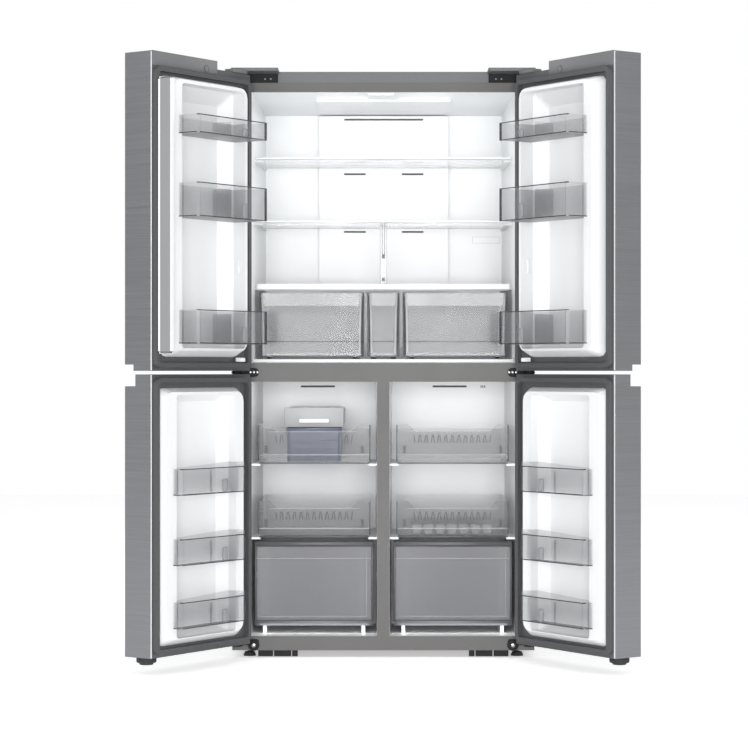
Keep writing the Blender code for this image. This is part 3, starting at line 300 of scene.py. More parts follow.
def moulded(name, colour, gloss, pebble=700.0, bump=0.05, metallic=0.0, patch=4.0, depth=0.04, **sockets):
    made, tree, shader = base_material(name, Metallic=metallic, **sockets)
    toned(tree, shader, colour, patch, depth)
    fine = use_group(tree, PEBBLE, Scale=pebble, Gloss=gloss, Change=0.08)
    tree.links.new(fine.outputs["Roughness"], shader.inputs["Roughness"])
    bumped(tree, shader, fine.outputs["Height"], bump, 0.0003)
    return made


def clear(name, colour, alpha, gloss=0.08, depth=0.05, bump=0.01):
    made = moulded(name, colour, gloss, pebble=60.0, bump=bump, patch=6.0, depth=depth)
    made.node_tree.nodes["Principled BSDF"].inputs["Alpha"].default_value = alpha
    made.node_tree.nodes["Principled BSDF"].inputs["IOR"].default_value = 1.49
    return made


def glowing(name, colour, strength):
    made = moulded(name, colour, 0.4)
    shader = made.node_tree.nodes["Principled BSDF"]
    shader.inputs["Emission Color"].default_value = (*colour, 1.0)
    shader.inputs["Emission Strength"].default_value = strength
    return made


# %% The finishes of this refrigerator
STEEL = brushed_metal("Brushed steel", (0.265, 0.272, 0.285), 0.32, 0.14)
# The same grey enamel as the case, set darker: the darker tone is painted shade.
FRAME_GREY_PAINTED_SHADE = moulded("Grey enamel frame with painted shade", (0.092, 0.090, 0.088), 0.42, pebble=900.0, bump=0.03)
CASE_GREY = moulded("Grey enamel case", (0.20, 0.20, 0.205), 0.42, pebble=520.0, bump=0.12)
COVER_GREY = moulded("Grey cover plastic", (0.112, 0.116, 0.120), 0.42, pebble=800.0, bump=0.06)
TRIM_GREY = moulded("Dark door trim", (0.078, 0.080, 0.084), 0.42, pebble=800.0, bump=0.05)
CAP_GREY = moulded("Door cap plastic", (0.150, 0.153, 0.158), 0.42, pebble=800.0, bump=0.05)
LINER_WHITE = moulded("White liner", (0.80, 0.81, 0.82), 0.28, pebble=45.0, bump=0.015, depth=0.02)
GASKET_GREY = moulded("Magnetic gasket", (0.070, 0.072, 0.076), 0.55, pebble=500.0, bump=0.08)
BLACK = moulded(
    "Black hinge steel", (0.010, 0.010, 0.011), 0.55, pebble=600.0, bump=0.06, Specular_IOR_Level=0.25
)
SCREW = brushed_metal("Bright screw", (0.34, 0.34, 0.35), 0.16, 0.1, 0.05, 2400.0)
RUBBER = moulded("Black foot rubber", (0.022, 0.022, 0.024), 0.62, pebble=380.0, bump=0.2)
BIN_CLEAR = clear("Clear door bin", (0.34, 0.345, 0.37), 0.12)
BIN_EDGE = clear("Door bin edge", (0.045, 0.047, 0.052), 0.90, gloss=0.2)
CRISPER_CLEAR = clear("Crisper plastic", (0.115, 0.118, 0.128), 0.30)
# Painted shade: a dark band standing for the dark inside of a crisper seen through its front.
CRISPER_PAINTED_SHADE = clear("Crisper painted shade band", (0.085, 0.088, 0.096), 0.80)
DRAWER_CLEAR = clear("Freezer drawer plastic", (0.215, 0.215, 0.23), 0.60)
DRAWER_EDGE = clear("Freezer drawer frame", (0.045, 0.046, 0.050), 0.95, gloss=0.3)
TRAY_CLEAR = clear("Freezer tray plastic", (0.16, 0.162, 0.175), 0.18)
TRAY_EDGE = clear("Freezer tray edge", (0.055, 0.057, 0.062), 0.80, gloss=0.25)
ICE_CLEAR = clear("Ice box plastic", (0.125, 0.145, 0.205), 0.90)
GLASS = clear("Shelf glass", (0.72, 0.75, 0.75), 0.16, gloss=0.04, bump=0.0)
CHANNEL_DARK = moulded("Dark channel", (0.075, 0.076, 0.08), 0.5, pebble=700.0, bump=0.05)
# The same steel as the doors, made brighter for the hem: a painted highlight.
HEM_PAINTED_HIGHLIGHT = brushed_metal("Steel hem with painted highlight", (0.66, 0.67, 0.68), 0.28, 0.1, 0.04)
FLIPPER_GREY = moulded("Flipper grey", (0.285, 0.288, 0.292), 0.4, metallic=0.2, pebble=900.0, bump=0.03)
HINGE_SCREW = brushed_metal("Dark hinge screw", (0.16, 0.16, 0.17), 0.3, 0.1, 0.05, 2400.0)
CLIP_GREY = moulded("Clip grey", (0.16, 0.16, 0.165), 0.4)
BIN_SHADE = clear("Door bin shade", (0.42, 0.425, 0.44), 0.09, gloss=0.2)
BIN_FLOOR = clear("Door bin floor", (0.30, 0.305, 0.315), 0.55, gloss=0.3)
RIB_CLEAR = clear("Pale moulded rib", (0.50, 0.50, 0.52), 0.45, gloss=0.2)
RIB_FAINT = clear("Faint tray rib", (0.10, 0.10, 0.105), 0.22, gloss=0.2)
ICE_WHITE = moulded("Ice maker white", (0.34, 0.345, 0.35), 0.4, pebble=60.0, bump=0.02)
ICE_LINE = clear("Ice box line", (0.22, 0.25, 0.36), 0.75, gloss=0.2)
MOULD_CLEAR = clear("Cube mould", (0.78, 0.78, 0.80), 0.30, gloss=0.06)
SHELF_TRIM = moulded("Shelf trim", (0.78, 0.79, 0.80), 0.22, pebble=60.0, bump=0.02)
# Dark for the air slots and the plug seams, and for the painted shadow plates in the gaps under the crispers.
SLOT_DARK = moulded("Air slot and painted gap shadow", (0.09, 0.09, 0.095), 0.7)
# Grey for moulded lines and outlines, and for the painted shadow lines under the shelf rails and the cover bar.
LINE_GREY = moulded("Moulded line and painted shadow line", (0.42, 0.425, 0.43), 0.5)
LAMP = glowing("Lamp lens", (1.0, 1.0, 1.0), 1.6)
FOAM = moulded("Insulation foam", (0.75, 0.68, 0.45), 0.9, pebble=220.0, bump=0.5)
print("finishes made")

# %% [markdown]
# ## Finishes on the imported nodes
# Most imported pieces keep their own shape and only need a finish, which follows from the name. Two
# kinds carry more than one: a door panel is steel outside, dark trim on its inner face and grey
# plastic on its ends, and the cabinet's sheet is told apart the same way, by where a face looks.

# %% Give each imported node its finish
NODE_FINISH = {
    "outer_case": CASE_GREY,
    "front_frame": FRAME_GREY_PAINTED_SHADE,
    "insulation_foam": FOAM,
    "top_cover": COVER_GREY,
    "base_frame": BLACK,
    "compressor": BLACK,
    "crisper_cover": GLASS,
    "ice_box": ICE_CLEAR,
    "rear_rollers": RUBBER,
}
FINISH_BY_WORD = [
    ("_bin_", BIN_CLEAR),
    ("shelf_", GLASS),
    ("crisper_", CRISPER_CLEAR),
    ("freezer_drawer", DRAWER_CLEAR),
    ("freezer_tray", TRAY_CLEAR),
    ("hinge", BLACK),
    ("foot", RUBBER),
    ("gasket", GASKET_GREY),
    ("mullion", FLIPPER_GREY),
]


def finish_for(name):
    if name in NODE_FINISH:
        return NODE_FINISH[name]
    return next((finish for word, finish in FINISH_BY_WORD if word in name), LINER_WHITE)


def dress_panel(name, panel):
    """Steel where the skin looks out or along the door, trim on the food side, caps on the ends."""
    body = name.removesuffix("_panel")
    back = door_matrix(body).inverted().to_3x3()
    for finish in (STEEL, TRIM_GREY, CAP_GREY):
        panel.data.materials.append(finish)
    for face in panel.data.polygons:
        normal = back @ face.normal
        if abs(normal.z) > 0.7:
            face.material_index = 2
        elif normal.y > 0.5 or normal.x < -0.5:
            face.material_index = 1


def dress_door_liner(name, liner):
    """White, but dark trim where the liner lies flat against the door outside the raised wall."""
    body = name.removesuffix("_liner")
    back = door_matrix(body).inverted()
    ring = door_box(body, f"{body}_panel")[1].y + 0.0025
    for finish in (LINER_WHITE, TRIM_GREY):
        liner.data.materials.append(finish)
    for face in liner.data.polygons:
        heights = [(back @ liner.data.vertices[i].co).y for i in face.vertices]
        flat = (back.to_3x3() @ face.normal).y > 0.9
        if flat and ring - 0.0006 < min(heights) and max(heights) < ring + 0.0006:
            face.material_index = 1


def dress_compartment(name, liner):
    """White inside; the thin flange that laps over the cabinet's face matches the frame."""
    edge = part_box(name)[0][1] + 0.0018
    for finish in (LINER_WHITE, FRAME_GREY_PAINTED_SHADE):
        liner.data.materials.append(finish)
    for face in liner.data.polygons:
        if (
            max(liner.data.vertices[i].co.y for i in face.vertices) < edge
            and abs(face.normal.z) + abs(face.normal.x) < 0.3
        ):
            face.material_index = 1


for name, packed in frame["nodes"].items():
    packed.data.materials.clear()
    if name == "fridge_liner" or name.startswith("freezer_liner"):
        dress_compartment(name, packed)
        continue
    if "_door_" in name and name.endswith("_liner"):
        dress_door_liner(name, packed)
    elif name.endswith("_panel"):
        dress_panel(name, packed)
    else:
        packed.data.materials.append(finish_for(name))
print("dressed", len(frame["nodes"]), "packed nodes")

# %% [markdown]
# ## Door edges
# The folded steel ends in a hem along the free edge of the inner face, brightened as a painted
# highlight. Behind it a dark channel runs down beside the gasket, and at the top a plastic end cap, a
# shade lighter than the channel, closes the door as far as the hinge recess, with a round plug over
# its screw.

# %% Hem, channel and end caps
DOORS = [f"{row}_door_{side}" for row in ("upper", "lower") for side in SIDES]
HEM = 0.0025
PROUD = 0.0008
CAP_DEPTH = 0.040
PLUG_RADIUS = 0.0095
RECESS = 0.157


def dress_door_edges(body):
    matrix = door_matrix(body)
    low, high = door_box(body, f"{body}_panel")
    gasket_high = door_box(body, f"{body}_gasket")[1]
    upper = body.startswith("upper")
    # The hem is drawn in the brightened steel: a painted highlight along the free edge.
    bm = bmesh.new()
    block(
        bm, (high.x - HEM, high.y - 0.001, low.z + 0.002),
        (high.x + 0.0006, high.y + PROUD, high.z - 0.002), 0.0006,
    )
    to_object(f"{body}_hem", bm, HEM_PAINTED_HIGHLIGHT, body, matrix)
    if upper:
        bm = bmesh.new()
        cap_low = (low.x + RECESS, high.y - 0.002, high.z - CAP_DEPTH)
        block(bm, cap_low, (high.x - HEM - 0.001, high.y + 0.0035, high.z + 0.0012), 0.0012)
        to_object(f"{body}_top_cap", bm, CAP_GREY, body, matrix)
        bm = bmesh.new()
        plug = (low.x + RECESS + 0.052, high.y + 0.0036, high.z - CAP_DEPTH + 0.013)
        disc(bm, plug, "Y", PLUG_RADIUS, 0.0012, 0.0004)
        to_object(f"{body}_cap_plug", bm, CAP_GREY, body, matrix)
        bm = bmesh.new()
        ring = bmesh.ops.create_circle(bm, segments=32, radius=PLUG_RADIUS + 0.0009)["verts"]
        bmesh.ops.transform(
            bm, matrix=Matrix.Translation(plug) @ Matrix.Rotation(math.pi / 2, 4, "X"), verts=ring
        )
        wall = bmesh.ops.extrude_edge_only(bm, edges=bm.edges[:])["geom"]
        moved = [item for item in wall if isinstance(item, bmesh.types.BMVert)]
        bmesh.ops.scale(bm, vec=(0.91, 1, 0.91), space=Matrix.Translation(-Vector(plug)), verts=moved)
        bmesh.ops.solidify(bm, geom=bm.faces[:], thickness=0.0009)
        to_object(f"{body}_plug_seam", bm, SLOT_DARK, body, matrix)
        bm = bmesh.new()
        block(
            bm, (low.x + RECESS - 0.075, high.y - 0.03, high.z - 0.0225),
            (low.x + 0.015, high.y + 0.0035, high.z - 0.012), 0.001,
        )
        to_object(f"{body}_recess_step", bm, CAP_GREY, body, matrix)
    bm = bmesh.new()
    block(
        bm, (gasket_high.x - 0.001, high.y + 0.0002, low.z + 0.012),
        (high.x - HEM - 0.0004, high.y + 0.0012, high.z - (CAP_DEPTH if upper else 0.012)), 0.0004,
    )
    to_object(f"{body}_channel", bm, CHANNEL_DARK, body, matrix)


for body in DOORS:
    dress_door_edges(body)
print("edged", len(DOORS), "doors")

# %% [markdown]
# ## Door bins
# A clear bin shows as a pale film with dark lines wherever its wall is seen edge on. A line of
# darker plastic along the front rim, the foot and the hinge-side corner gives those lines a body,
# with a tinted floor below and a moulded foot rib standing inside the front.

# %% Lines, floor and rib of a bin
LINE = 0.0024


def edge_bin(body, name):
    matrix = door_matrix(body)
    low, high = door_box(body, name)
    upper = body.startswith("upper")
    rise = 0.0 if upper else 0.012
    rim = high.z - rise
    bm = bmesh.new()
    front = high.y + 0.0004
    block(bm, (low.x + 0.004, front - LINE, rim - LINE), (high.x - 0.007, front, rim + 0.0004), 0.0005)
    block(
        bm, (high.x - 0.012, front - 0.010, rim - LINE), (high.x - 0.003, front - 0.003, rim + 0.0008),
        0.0008,
    )
    block(bm, (low.x + 0.004, front - LINE, low.z - 0.0004), (high.x - 0.007, front, low.z + LINE), 0.0005)
    block(bm, (low.x - 0.0004, front - 0.011, low.z), (low.x + LINE, front - 0.006, rim), 0.0006)
    block(bm, (low.x + 0.003, front - 0.006, low.z), (low.x + 0.003 + LINE, front - 0.0008, rim), 0.0006)
    block(
        bm, (high.x - LINE, low.y + 0.02, low.z - 0.0004),
        (high.x + 0.0004, front - 0.008, low.z + LINE), 0.0005,
    )
    to_object(f"{name}_lines", bm, BIN_EDGE, name, matrix)
    bm = bmesh.new()
    block(
        bm, (high.x - 0.009, front - 0.0016, low.z + LINE),
        (high.x - 0.0075, front - 0.0002, rim - LINE), 0.0003,
    )
    stop = low.x + (high.x - low.x) * 0.52
    block(bm, (stop, low.y + 0.045, low.z + 0.003), (stop + 0.0016, high.y - 0.004, rim - 0.010), 0.0004)
    to_object(f"{name}_stop", bm, BIN_SHADE, name, matrix)
    bm = bmesh.new()
    block(
        bm, (low.x + 0.014, low.y + 0.008, low.z - 0.0008),
        (high.x - 0.012, high.y - 0.006, low.z - 0.0002), 0.0002,
    )
    to_object(f"{name}_floor_tint", bm, BIN_FLOOR, name, matrix)
    bm = bmesh.new()
    rib = low.x + (high.x - low.x) * 0.30
    tall = min(0.048, (rim - low.z) * 0.55)
    block(
        bm, (rib - 0.010, high.y - 0.016, low.z + 0.002), (rib + 0.010, high.y - 0.0035, low.z + tall),
        0.006, 4,
    )
    to_object(f"{name}_rib", bm, RIB_CLEAR, name, matrix)


for body in DOORS:
    for place in ("top", "middle", "bottom"):
        edge_bin(body, f"{body}_bin_{place}")
print("lined", 3 * len(DOORS), "bins")

# %% [markdown]
# ## Flipper
# The hinged mullion on the left door closes the gap between the doors. It is a grey strip with a
# white heater seal down its free edge, and a stepped cam on each end that the guides turn.

# %% Seal, edge and cams of the flipper
def dress_flipper():
    body = "upper_door_left"
    matrix = door_matrix(body)
    low, high = door_box(body, "mullion_flipper")
    bm = bmesh.new()
    block(
        bm, (high.x - 0.001, low.y + 0.0005, low.z + 0.001),
        (high.x + 0.0012, low.y + 0.0075, high.z - 0.001), 0.0006,
    )
    block(
        bm, (low.x + 0.001, high.y - 0.001, low.z + 0.001),
        (high.x - 0.0005, high.y + 0.0012, high.z - 0.001), 0.0008,
    )
    to_object("flipper_seals", bm, SHELF_TRIM, "mullion_flipper", matrix)
    for name, level in (("top", high.z), ("bottom", low.z)):
        up = 1 if name == "top" else -1
        bm = bmesh.new()
        ends = sorted((level, level + up * 0.005))
        block(bm, (low.x + 0.002, low.y + 0.006, ends[0]), (high.x - 0.002, high.y - 0.006, ends[1]), 0.0015)
        to_object(f"flipper_cam_{name}", bm, CAP_GREY, "mullion_flipper", matrix)


dress_flipper()
print("dressed the flipper")

# %% [markdown]
# ## Small things on the door liners
# Each upper liner has a moulded hook between its lower bins, and a stub under its foot where the
# dyke meets the gasket. The lower doors stand on a rubber pad under their free corner.

# %% Hooks, stubs and door feet
def dress_liner(body):
    matrix = door_matrix(body)
    low, high = door_box(body, f"{body}_panel")
    if body.startswith("upper"):
        bin_top = door_box(body, f"{body}_bin_middle")[0].z
        bin_low = door_box(body, f"{body}_bin_bottom")[1].z
        level = bin_low + 0.43 * (bin_top - bin_low)
        bm = bmesh.new()
        u = low.x + 0.0815
        block(bm, (u, high.y + 0.016, level), (u + 0.006, high.y + 0.028, level + 0.044), 0.0025, 3)
        to_object(f"{body}_hook", bm, LINER_WHITE, body, matrix)
        bm = bmesh.new()
        dyke_foot = door_box(body, f"{body}_gasket")[0].z + 0.018
        block(
            bm, (low.x + 0.066, high.y + 0.012, dyke_foot),
            (low.x + 0.084, high.y + 0.036, dyke_foot + 0.012), 0.002,
        )
        to_object(f"{body}_stub", bm, LINER_WHITE, body, matrix)
    else:
        bm = bmesh.new()
        disc(bm, (high.x - 0.040, (low.y + high.y) / 2, low.z - 0.009), "Z", 0.029, 0.018, 0.005)
        disc(bm, (high.x - 0.040, (low.y + high.y) / 2, low.z - 0.020), "Z", 0.020, 0.006, 0.002)
        to_object(f"{body}_foot", bm, RUBBER, body, matrix)


for body in DOORS:
    dress_liner(body)
print("added hooks and feet")

# %% [markdown]
# ## Seating small parts
# Screws and plugs have to touch what they hold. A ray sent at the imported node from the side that
# the part is looked at from gives the exact surface, so nothing floats and nothing is buried.

# %% Find a surface
def front_of(node_name, x, z):
    """The cabinet-facing depth where a level ray from the front first meets a node."""
    packed = frame["nodes"][node_name]
    hit, place, _, _ = packed.ray_cast(Vector((x, -3.0, z)), Vector((0, 1, 0)))
    return place.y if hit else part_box(node_name)[0][1]


def screw(bm, centre, radius, axis="Y"):
    disc(bm, centre, axis, radius, 0.003, 0.0008, 24)
    inner = Vector(centre) + {"Y": Vector((0, -0.0016, 0)), "Z": Vector((0, 0, 0.0016))}[axis]
    disc(bm, inner, axis, radius * 0.45, 0.0012, 0.0003, 6)


# %% [markdown]
# ## Hinge hardware
# Bright screws hold the black hinge arms: two in each top housing, three in a row on the rail
# between the doors, and one in each bottom bracket beside a round black pivot cup.

# %% Hinge screws and cups
def dress_hinges():
    for side_name, side in SIDES.items():
        top, middle, bottom = (f"{level}_hinge_{side_name}" for level in ("top", "middle", "bottom"))
        bm = bmesh.new()
        for x in (0.340, 0.357):
            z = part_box(top)[0][2] + 0.018
            screw(bm, (side * x, front_of(top, side * x, z), z), 0.0032)
        to_object(f"{top}_screws", bm, HINGE_SCREW, "cabinet")
        bm = bmesh.new()
        level = (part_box(middle)[0][2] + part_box(middle)[1][2]) / 2 + 0.001
        for x in (0.3805, 0.391, 0.4015):
            screw(bm, (side * x, front_of(middle, side * x, level), level), 0.0047)
        to_object(f"{middle}_screws", bm, SCREW, "cabinet")
        bm = bmesh.new()
        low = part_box(bottom)[0]
        x, z = side * 0.391, low[2] - 0.003
        disc(bm, (x, FACE_Y - 0.0045, z + 0.002), "Y", 0.017, 0.008, 0.003)
        to_object(f"{bottom}_cup", bm, BLACK, "cabinet")
        bm = bmesh.new()
        screw(bm, (x, FACE_Y - 0.009, z + 0.002), 0.0062)
        to_object(f"{bottom}_screw", bm, SCREW, "cabinet")


dress_hinges()
print("screwed the hinges")

# %% [markdown]
# ## Lamps and air slots
# Two thin lamp lines run across the ceiling. Cold air leaves through dark slots in the back panel,
# one long one over the top shelf and a pair under each shelf, and through one in each freezer.

# %% Lamp lines and slots
def plate(name, x, z, y, finish, body, depth=0.0006, bevel=0.0):
    """A thin plate on a wall that faces the front, between two x and two z."""
    bm = bmesh.new()
    block(bm, (x[0], y - depth, z[0]), (x[1], y + depth, z[1]), bevel)
    return to_object(name, bm, finish, body)


def make_lamps_and_slots():
    bar_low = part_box("light_bar")[0]
    for side_name, side in SIDES.items():
        xs = sorted((side * 0.050, side * 0.2045))
        bm = bmesh.new()
        block(
            bm, (xs[0], bar_low[1] - 0.003, bar_low[2] + 0.001),
            (xs[1], bar_low[1] + 0.004, bar_low[2] + 0.0055), 0.0012,
        )
        to_object(f"lamp_line_{side_name}", bm, LAMP, "cabinet")
    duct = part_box("duct_cover")[0]
    long_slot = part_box("duct_cover")[1][2] - 0.011
    plate(
        "slot_long", (-0.127, 0.127), (long_slot - 0.003, long_slot + 0.003), duct[1], SLOT_DARK,
        "cabinet",
    )
    for row, shelf in (("upper", "shelf_upper"), ("middle", "shelf_middle_left")):
        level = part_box(shelf)[0][2] - (0.006 if row == "upper" else -0.002)
        for side_name, side in SIDES.items():
            xs = sorted((side * 0.058, side * 0.128))
            plate(
                f"slot_{row}_{side_name}", xs, (level - 0.0028, level + 0.0028), duct[1], SLOT_DARK,
                "cabinet",
            )
    for side_name, side in SIDES.items():
        xs = sorted((side * 0.158, side * 0.268))
        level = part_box(f"freezer_liner_{side_name}")[1][2] - 0.0265
        wall = wall_behind(f"freezer_liner_{side_name}", side * 0.21, level)
        plate(
            f"slot_freezer_{side_name}", xs, (level - 0.003, level + 0.003), wall, SLOT_DARK, "cabinet",
        )
    for index in range(3):
        x = 0.313 + 0.006 * index
        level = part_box("freezer_liner_right")[1][2] - 0.027
        wall = wall_behind("freezer_liner_right", x, level)
        plate(
            f"vent_{index + 1}", (x, x + 0.003), (level - 0.004, level + 0.004), wall, SLOT_DARK,
            "cabinet",
        )


def wall_behind(node_name, x, z):
    """The inner face of a liner's back wall at a place, seen through its open front."""
    packed = frame["nodes"][node_name]
    start = Vector((x, 0.05, z))
    hit, place, _, _ = packed.ray_cast(start, Vector((0, 1, 0)))
    return place.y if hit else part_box(node_name)[1][1] - 0.002


make_lamps_and_slots()
print("cut the lamp lines and slots")

# %% [markdown]
# ## Shelves
# Each glass shelf has a moulded white front rail with a fine painted shadow line under it, and a narrow
# grey strip along its back edge.

# %% Shelf rails and the panel outline
def rail_shelf(name, left, right, top, front, back):
    bm = bmesh.new()
    block(bm, (left, front - 0.0022, top - 0.0045), (right, front + 0.008, top + 0.0010), 0.0012, 3)
    to_object(f"{name}_front_rail", bm, SHELF_TRIM, name)
    # The first line is a painted shadow under the front rail; the second is the grey strip along the back edge.
    bm = bmesh.new()
    block(
        bm, (left + 0.004, front - 0.0012, top - 0.0060), (right - 0.004, front + 0.006, top - 0.0047),
        0.0004,
    )
    block(
        bm, (left + 0.010, back - 0.001, top - 0.0035), (right - 0.010, back + 0.0006, top - 0.0015),
        0.0004,
    )
    to_object(f"{name}_lines", bm, LINE_GREY, name)


def make_shelf_rails():
    for name in ("shelf_upper", "shelf_middle_left", "shelf_middle_right"):
        low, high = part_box(name)
        rail_shelf(name, low[0], high[0], high[2] - 0.006, low[1], high[1])
    wall = wall_behind("fridge_liner", 0.33, 1.287)
    (x0, x1), (z0, z1), w = (0.287, 0.3755), (1.2765, 1.2975), 0.0009
    bm = bmesh.new()
    for low, high in (
        ((x0, z0), (x1, z0 + w)), ((x0, z1 - w), (x1, z1)), ((x0, z0), (x0 + w, z1)), ((x1 - w, z0), (x1, z1))
    ):
        block(bm, (low[0], wall - 0.0007, low[1]), (high[0], wall + 0.0007, high[1]))
    to_object("wall_panel_outline", bm, LINE_GREY, "cabinet")


make_shelf_rails()
print("railed the shelves")

# %% [markdown]
# ## Crispers and their cover
# The cover's front is a broad white bar on a slim post. The crispers under it are cloudy plastic:
# across their top runs a band of painted shade for the dark inside seen through the front, a fold
# line crosses them low down, and their side walls show as pale uprights between dark gaps.

# %% Cover bar, post and crisper fronts
def make_crisper_looks():
    cover_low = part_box("crisper_cover")[0]
    crisper_low, crisper_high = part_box("crisper_left")
    front = crisper_low[1]
    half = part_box("crisper_right")[1][0] + 0.0075
    bm = bmesh.new()
    block(
        bm, (-half, front - 0.006, crisper_high[2] + 0.0098),
        (half, front + 0.012, crisper_high[2] + 0.0275), 0.0025, 3,
    )
    to_object("cover_front_bar", bm, SHELF_TRIM, "cabinet")
    # A grey line under the cover bar: a painted shadow line.
    bm = bmesh.new()
    block(
        bm, (-half + 0.002, front - 0.003, crisper_high[2] + 0.0068),
        (half - 0.002, front + 0.010, crisper_high[2] + 0.0096), 0.0006,
    )
    to_object("cover_shadow_line", bm, LINE_GREY, "cabinet")
    bm = bmesh.new()
    for x in (-0.0098, 0.0088):
        block(bm, (x, front - 0.0052, crisper_high[2] + 0.028), (x + 0.001, front + 0.001, 1.3180), 0.0002)
    to_object("post_edges", bm, LINE_GREY, "cabinet")
    bm = bmesh.new()
    for x in (-0.0042, 0.0026):
        block(bm, (x, front - 0.0060, 1.222), (x + 0.0016, front + 0.001, 1.3165), 0.0003)
    block(bm, (-0.0045, front - 0.0066, 1.209), (0.0045, front + 0.001, 1.222), 0.001)
    block(bm, (-0.0045, front - 0.0062, 1.1405), (0.0045, front + 0.001, 1.1495), 0.001)
    to_object("post_clips", bm, CLIP_GREY, "cabinet")
    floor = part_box("fridge_liner")[0][2] + 0.0110
    sill = crisper_low[2] - 0.009
    bm = bmesh.new()
    block(bm, (-half - 0.006, FACE_Y + 0.002, floor), (half + 0.006, FACE_Y + 0.010, sill), 0.002, 3)
    to_object("fridge_sill", bm, SHELF_TRIM, "cabinet")
    for name in ("crisper_left", "crisper_middle", "crisper_right"):
        low, high = (Vector(corner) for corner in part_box(name))
        # A band of painted shade across the top of each crisper front, for the dark inside seen through it.
        bm = bmesh.new()
        block(
            bm, (low.x + 0.006, low.y - 0.0009, high.z - 0.040),
            (high.x - 0.006, low.y - 0.0003, high.z - 0.0025),
        )
        to_object(f"{name}_top_shade", bm, CRISPER_PAINTED_SHADE, name)
        bm = bmesh.new()
        block(
            bm, (low.x + 0.002, low.y - 0.0008, low.z + 0.0440),
            (high.x - 0.002, low.y + 0.0006, low.z + 0.0458), 0.0003,
        )
        block(
            bm, (low.x + 0.001, low.y - 0.0010, low.z - 0.0002),
            (high.x - 0.001, low.y + 0.0006, low.z + 0.0022), 0.0003,
        )
        for x in (low.x - 0.0002, high.x - 0.0020):
            block(bm, (x, low.y - 0.0010, low.z + 0.001), (x + 0.0022, low.y + 0.004, high.z - 0.001), 0.0005)
        to_object(f"{name}_lines", bm, BIN_EDGE, name)
        bm = bmesh.new()
        inner = [low.x + 0.006, high.x - 0.012]
        for x, lean in zip(inner, (-0.004, 0.004)):
            start = len(bm.verts)
            block(bm, (x, low.y - 0.0016, low.z + 0.006), (x + 0.006, low.y - 0.0004, high.z - 0.002), 0.0004)
            bm.verts.ensure_lookup_table()
            foot = [v for v in bm.verts[start:] if v.co.z < (low.z + high.z) / 2]
            bmesh.ops.translate(bm, vec=(-lean, 0, 0), verts=foot)
        to_object(f"{name}_walls_seen", bm, RIB_CLEAR, name)
        # A dark plate in the gap under the crisper: a painted shadow.
        bm = bmesh.new()
        block(
            bm, (low.x + 0.010, low.y + 0.010, low.z - 0.0102),
            (high.x - 0.010, low.y + 0.012, low.z - 0.0012),
        )
        to_object(f"{name}_gap_shadow", bm, SLOT_DARK, "cabinet")


make_crisper_looks()
print("finished the crispers")

# %% [markdown]
# ## Freezer trays
# The pull-out trays are clear, with the rim rising at both ends. A band of leaning ribs crosses the
# front, and dark lines mark the sides and the foot, as on the door bins.

# %% Tray fronts
RIBS = 24


def dress_tray(name):
    low, high = (Vector(corner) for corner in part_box(name))
    dip = high.z - 0.0235
    front = low.y
    bm = bmesh.new()
    for x in (low.x - 0.0003, high.x - 0.0029):
        block(bm, (x, front - 0.0006, low.z + 0.008), (x + 0.0032, front + 0.006, high.z - 0.003), 0.0005)
    block(
        bm, (low.x + 0.003, front - 0.0012, low.z - 0.0003),
        (high.x - 0.003, front + 0.004, low.z + 0.0030), 0.0005,
    )
    to_object(f"{name}_lines", bm, TRAY_EDGE, name)
    bm = bmesh.new()
    block(
        bm, (low.x + 0.004, front - 0.0012, low.z + 0.0255),
        (high.x - 0.004, front + 0.0006, low.z + 0.0285), 0.0006,
    )
    block(
        bm, (low.x + 0.034, front - 0.0010, dip - 0.0015),
        (high.x - 0.034, front + 0.002, dip + 0.0010), 0.0006,
    )
    to_object(f"{name}_bright_lines", bm, RIB_CLEAR, name)
    bm = bmesh.new()
    left, right = low.x + 0.052, high.x - 0.052
    step = (right - left) / RIBS
    ice_low, ice_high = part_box("ice_box")
    behind = name == "freezer_tray_upper_left"
    for index in range(RIBS):
        start = len(bm.verts)
        x = left + (index + 0.3) * step
        if behind and ice_low[0] - 0.004 < x < ice_high[0] + 0.002:
            continue
        block(bm, (x, front - 0.0016, dip - 0.034), (x + 0.0030, front + 0.0004, dip - 0.010), 0.0008)
        bm.verts.ensure_lookup_table()
        top = [v for v in bm.verts[start:] if v.co.z > dip - 0.022]
        lean = 0.0035 if index % 2 else -0.0035
        bmesh.ops.translate(bm, vec=(lean, 0, 0), verts=top)
    to_object(f"{name}_ribs", bm, RIB_FAINT, name)
    bm = bmesh.new()
    for x in (low.x + 0.018, high.x - 0.030):
        for index in range(4):
            z = low.z + 0.033 + 0.006 * index
            block(bm, (x, front - 0.0012, z), (x + 0.012, front + 0.0004, z + 0.002), 0.0004)
        block(
            bm, (x + 0.005, front - 0.0012, low.z + 0.032), (x + 0.007, front + 0.0004, low.z + 0.054),
            0.0004,
        )
    to_object(f"{name}_catches", bm, TRAY_EDGE, name)


for side_name in SIDES:
    for level in ("upper", "middle"):
        dress_tray(f"freezer_tray_{level}_{side_name}")
print("dressed the trays")

# %% [markdown]
# ## Freezer drawers
# The deep bottom drawers have a dark moulded frame round a pale front, a lip to pull at the top, and
# a fine bright line under it.

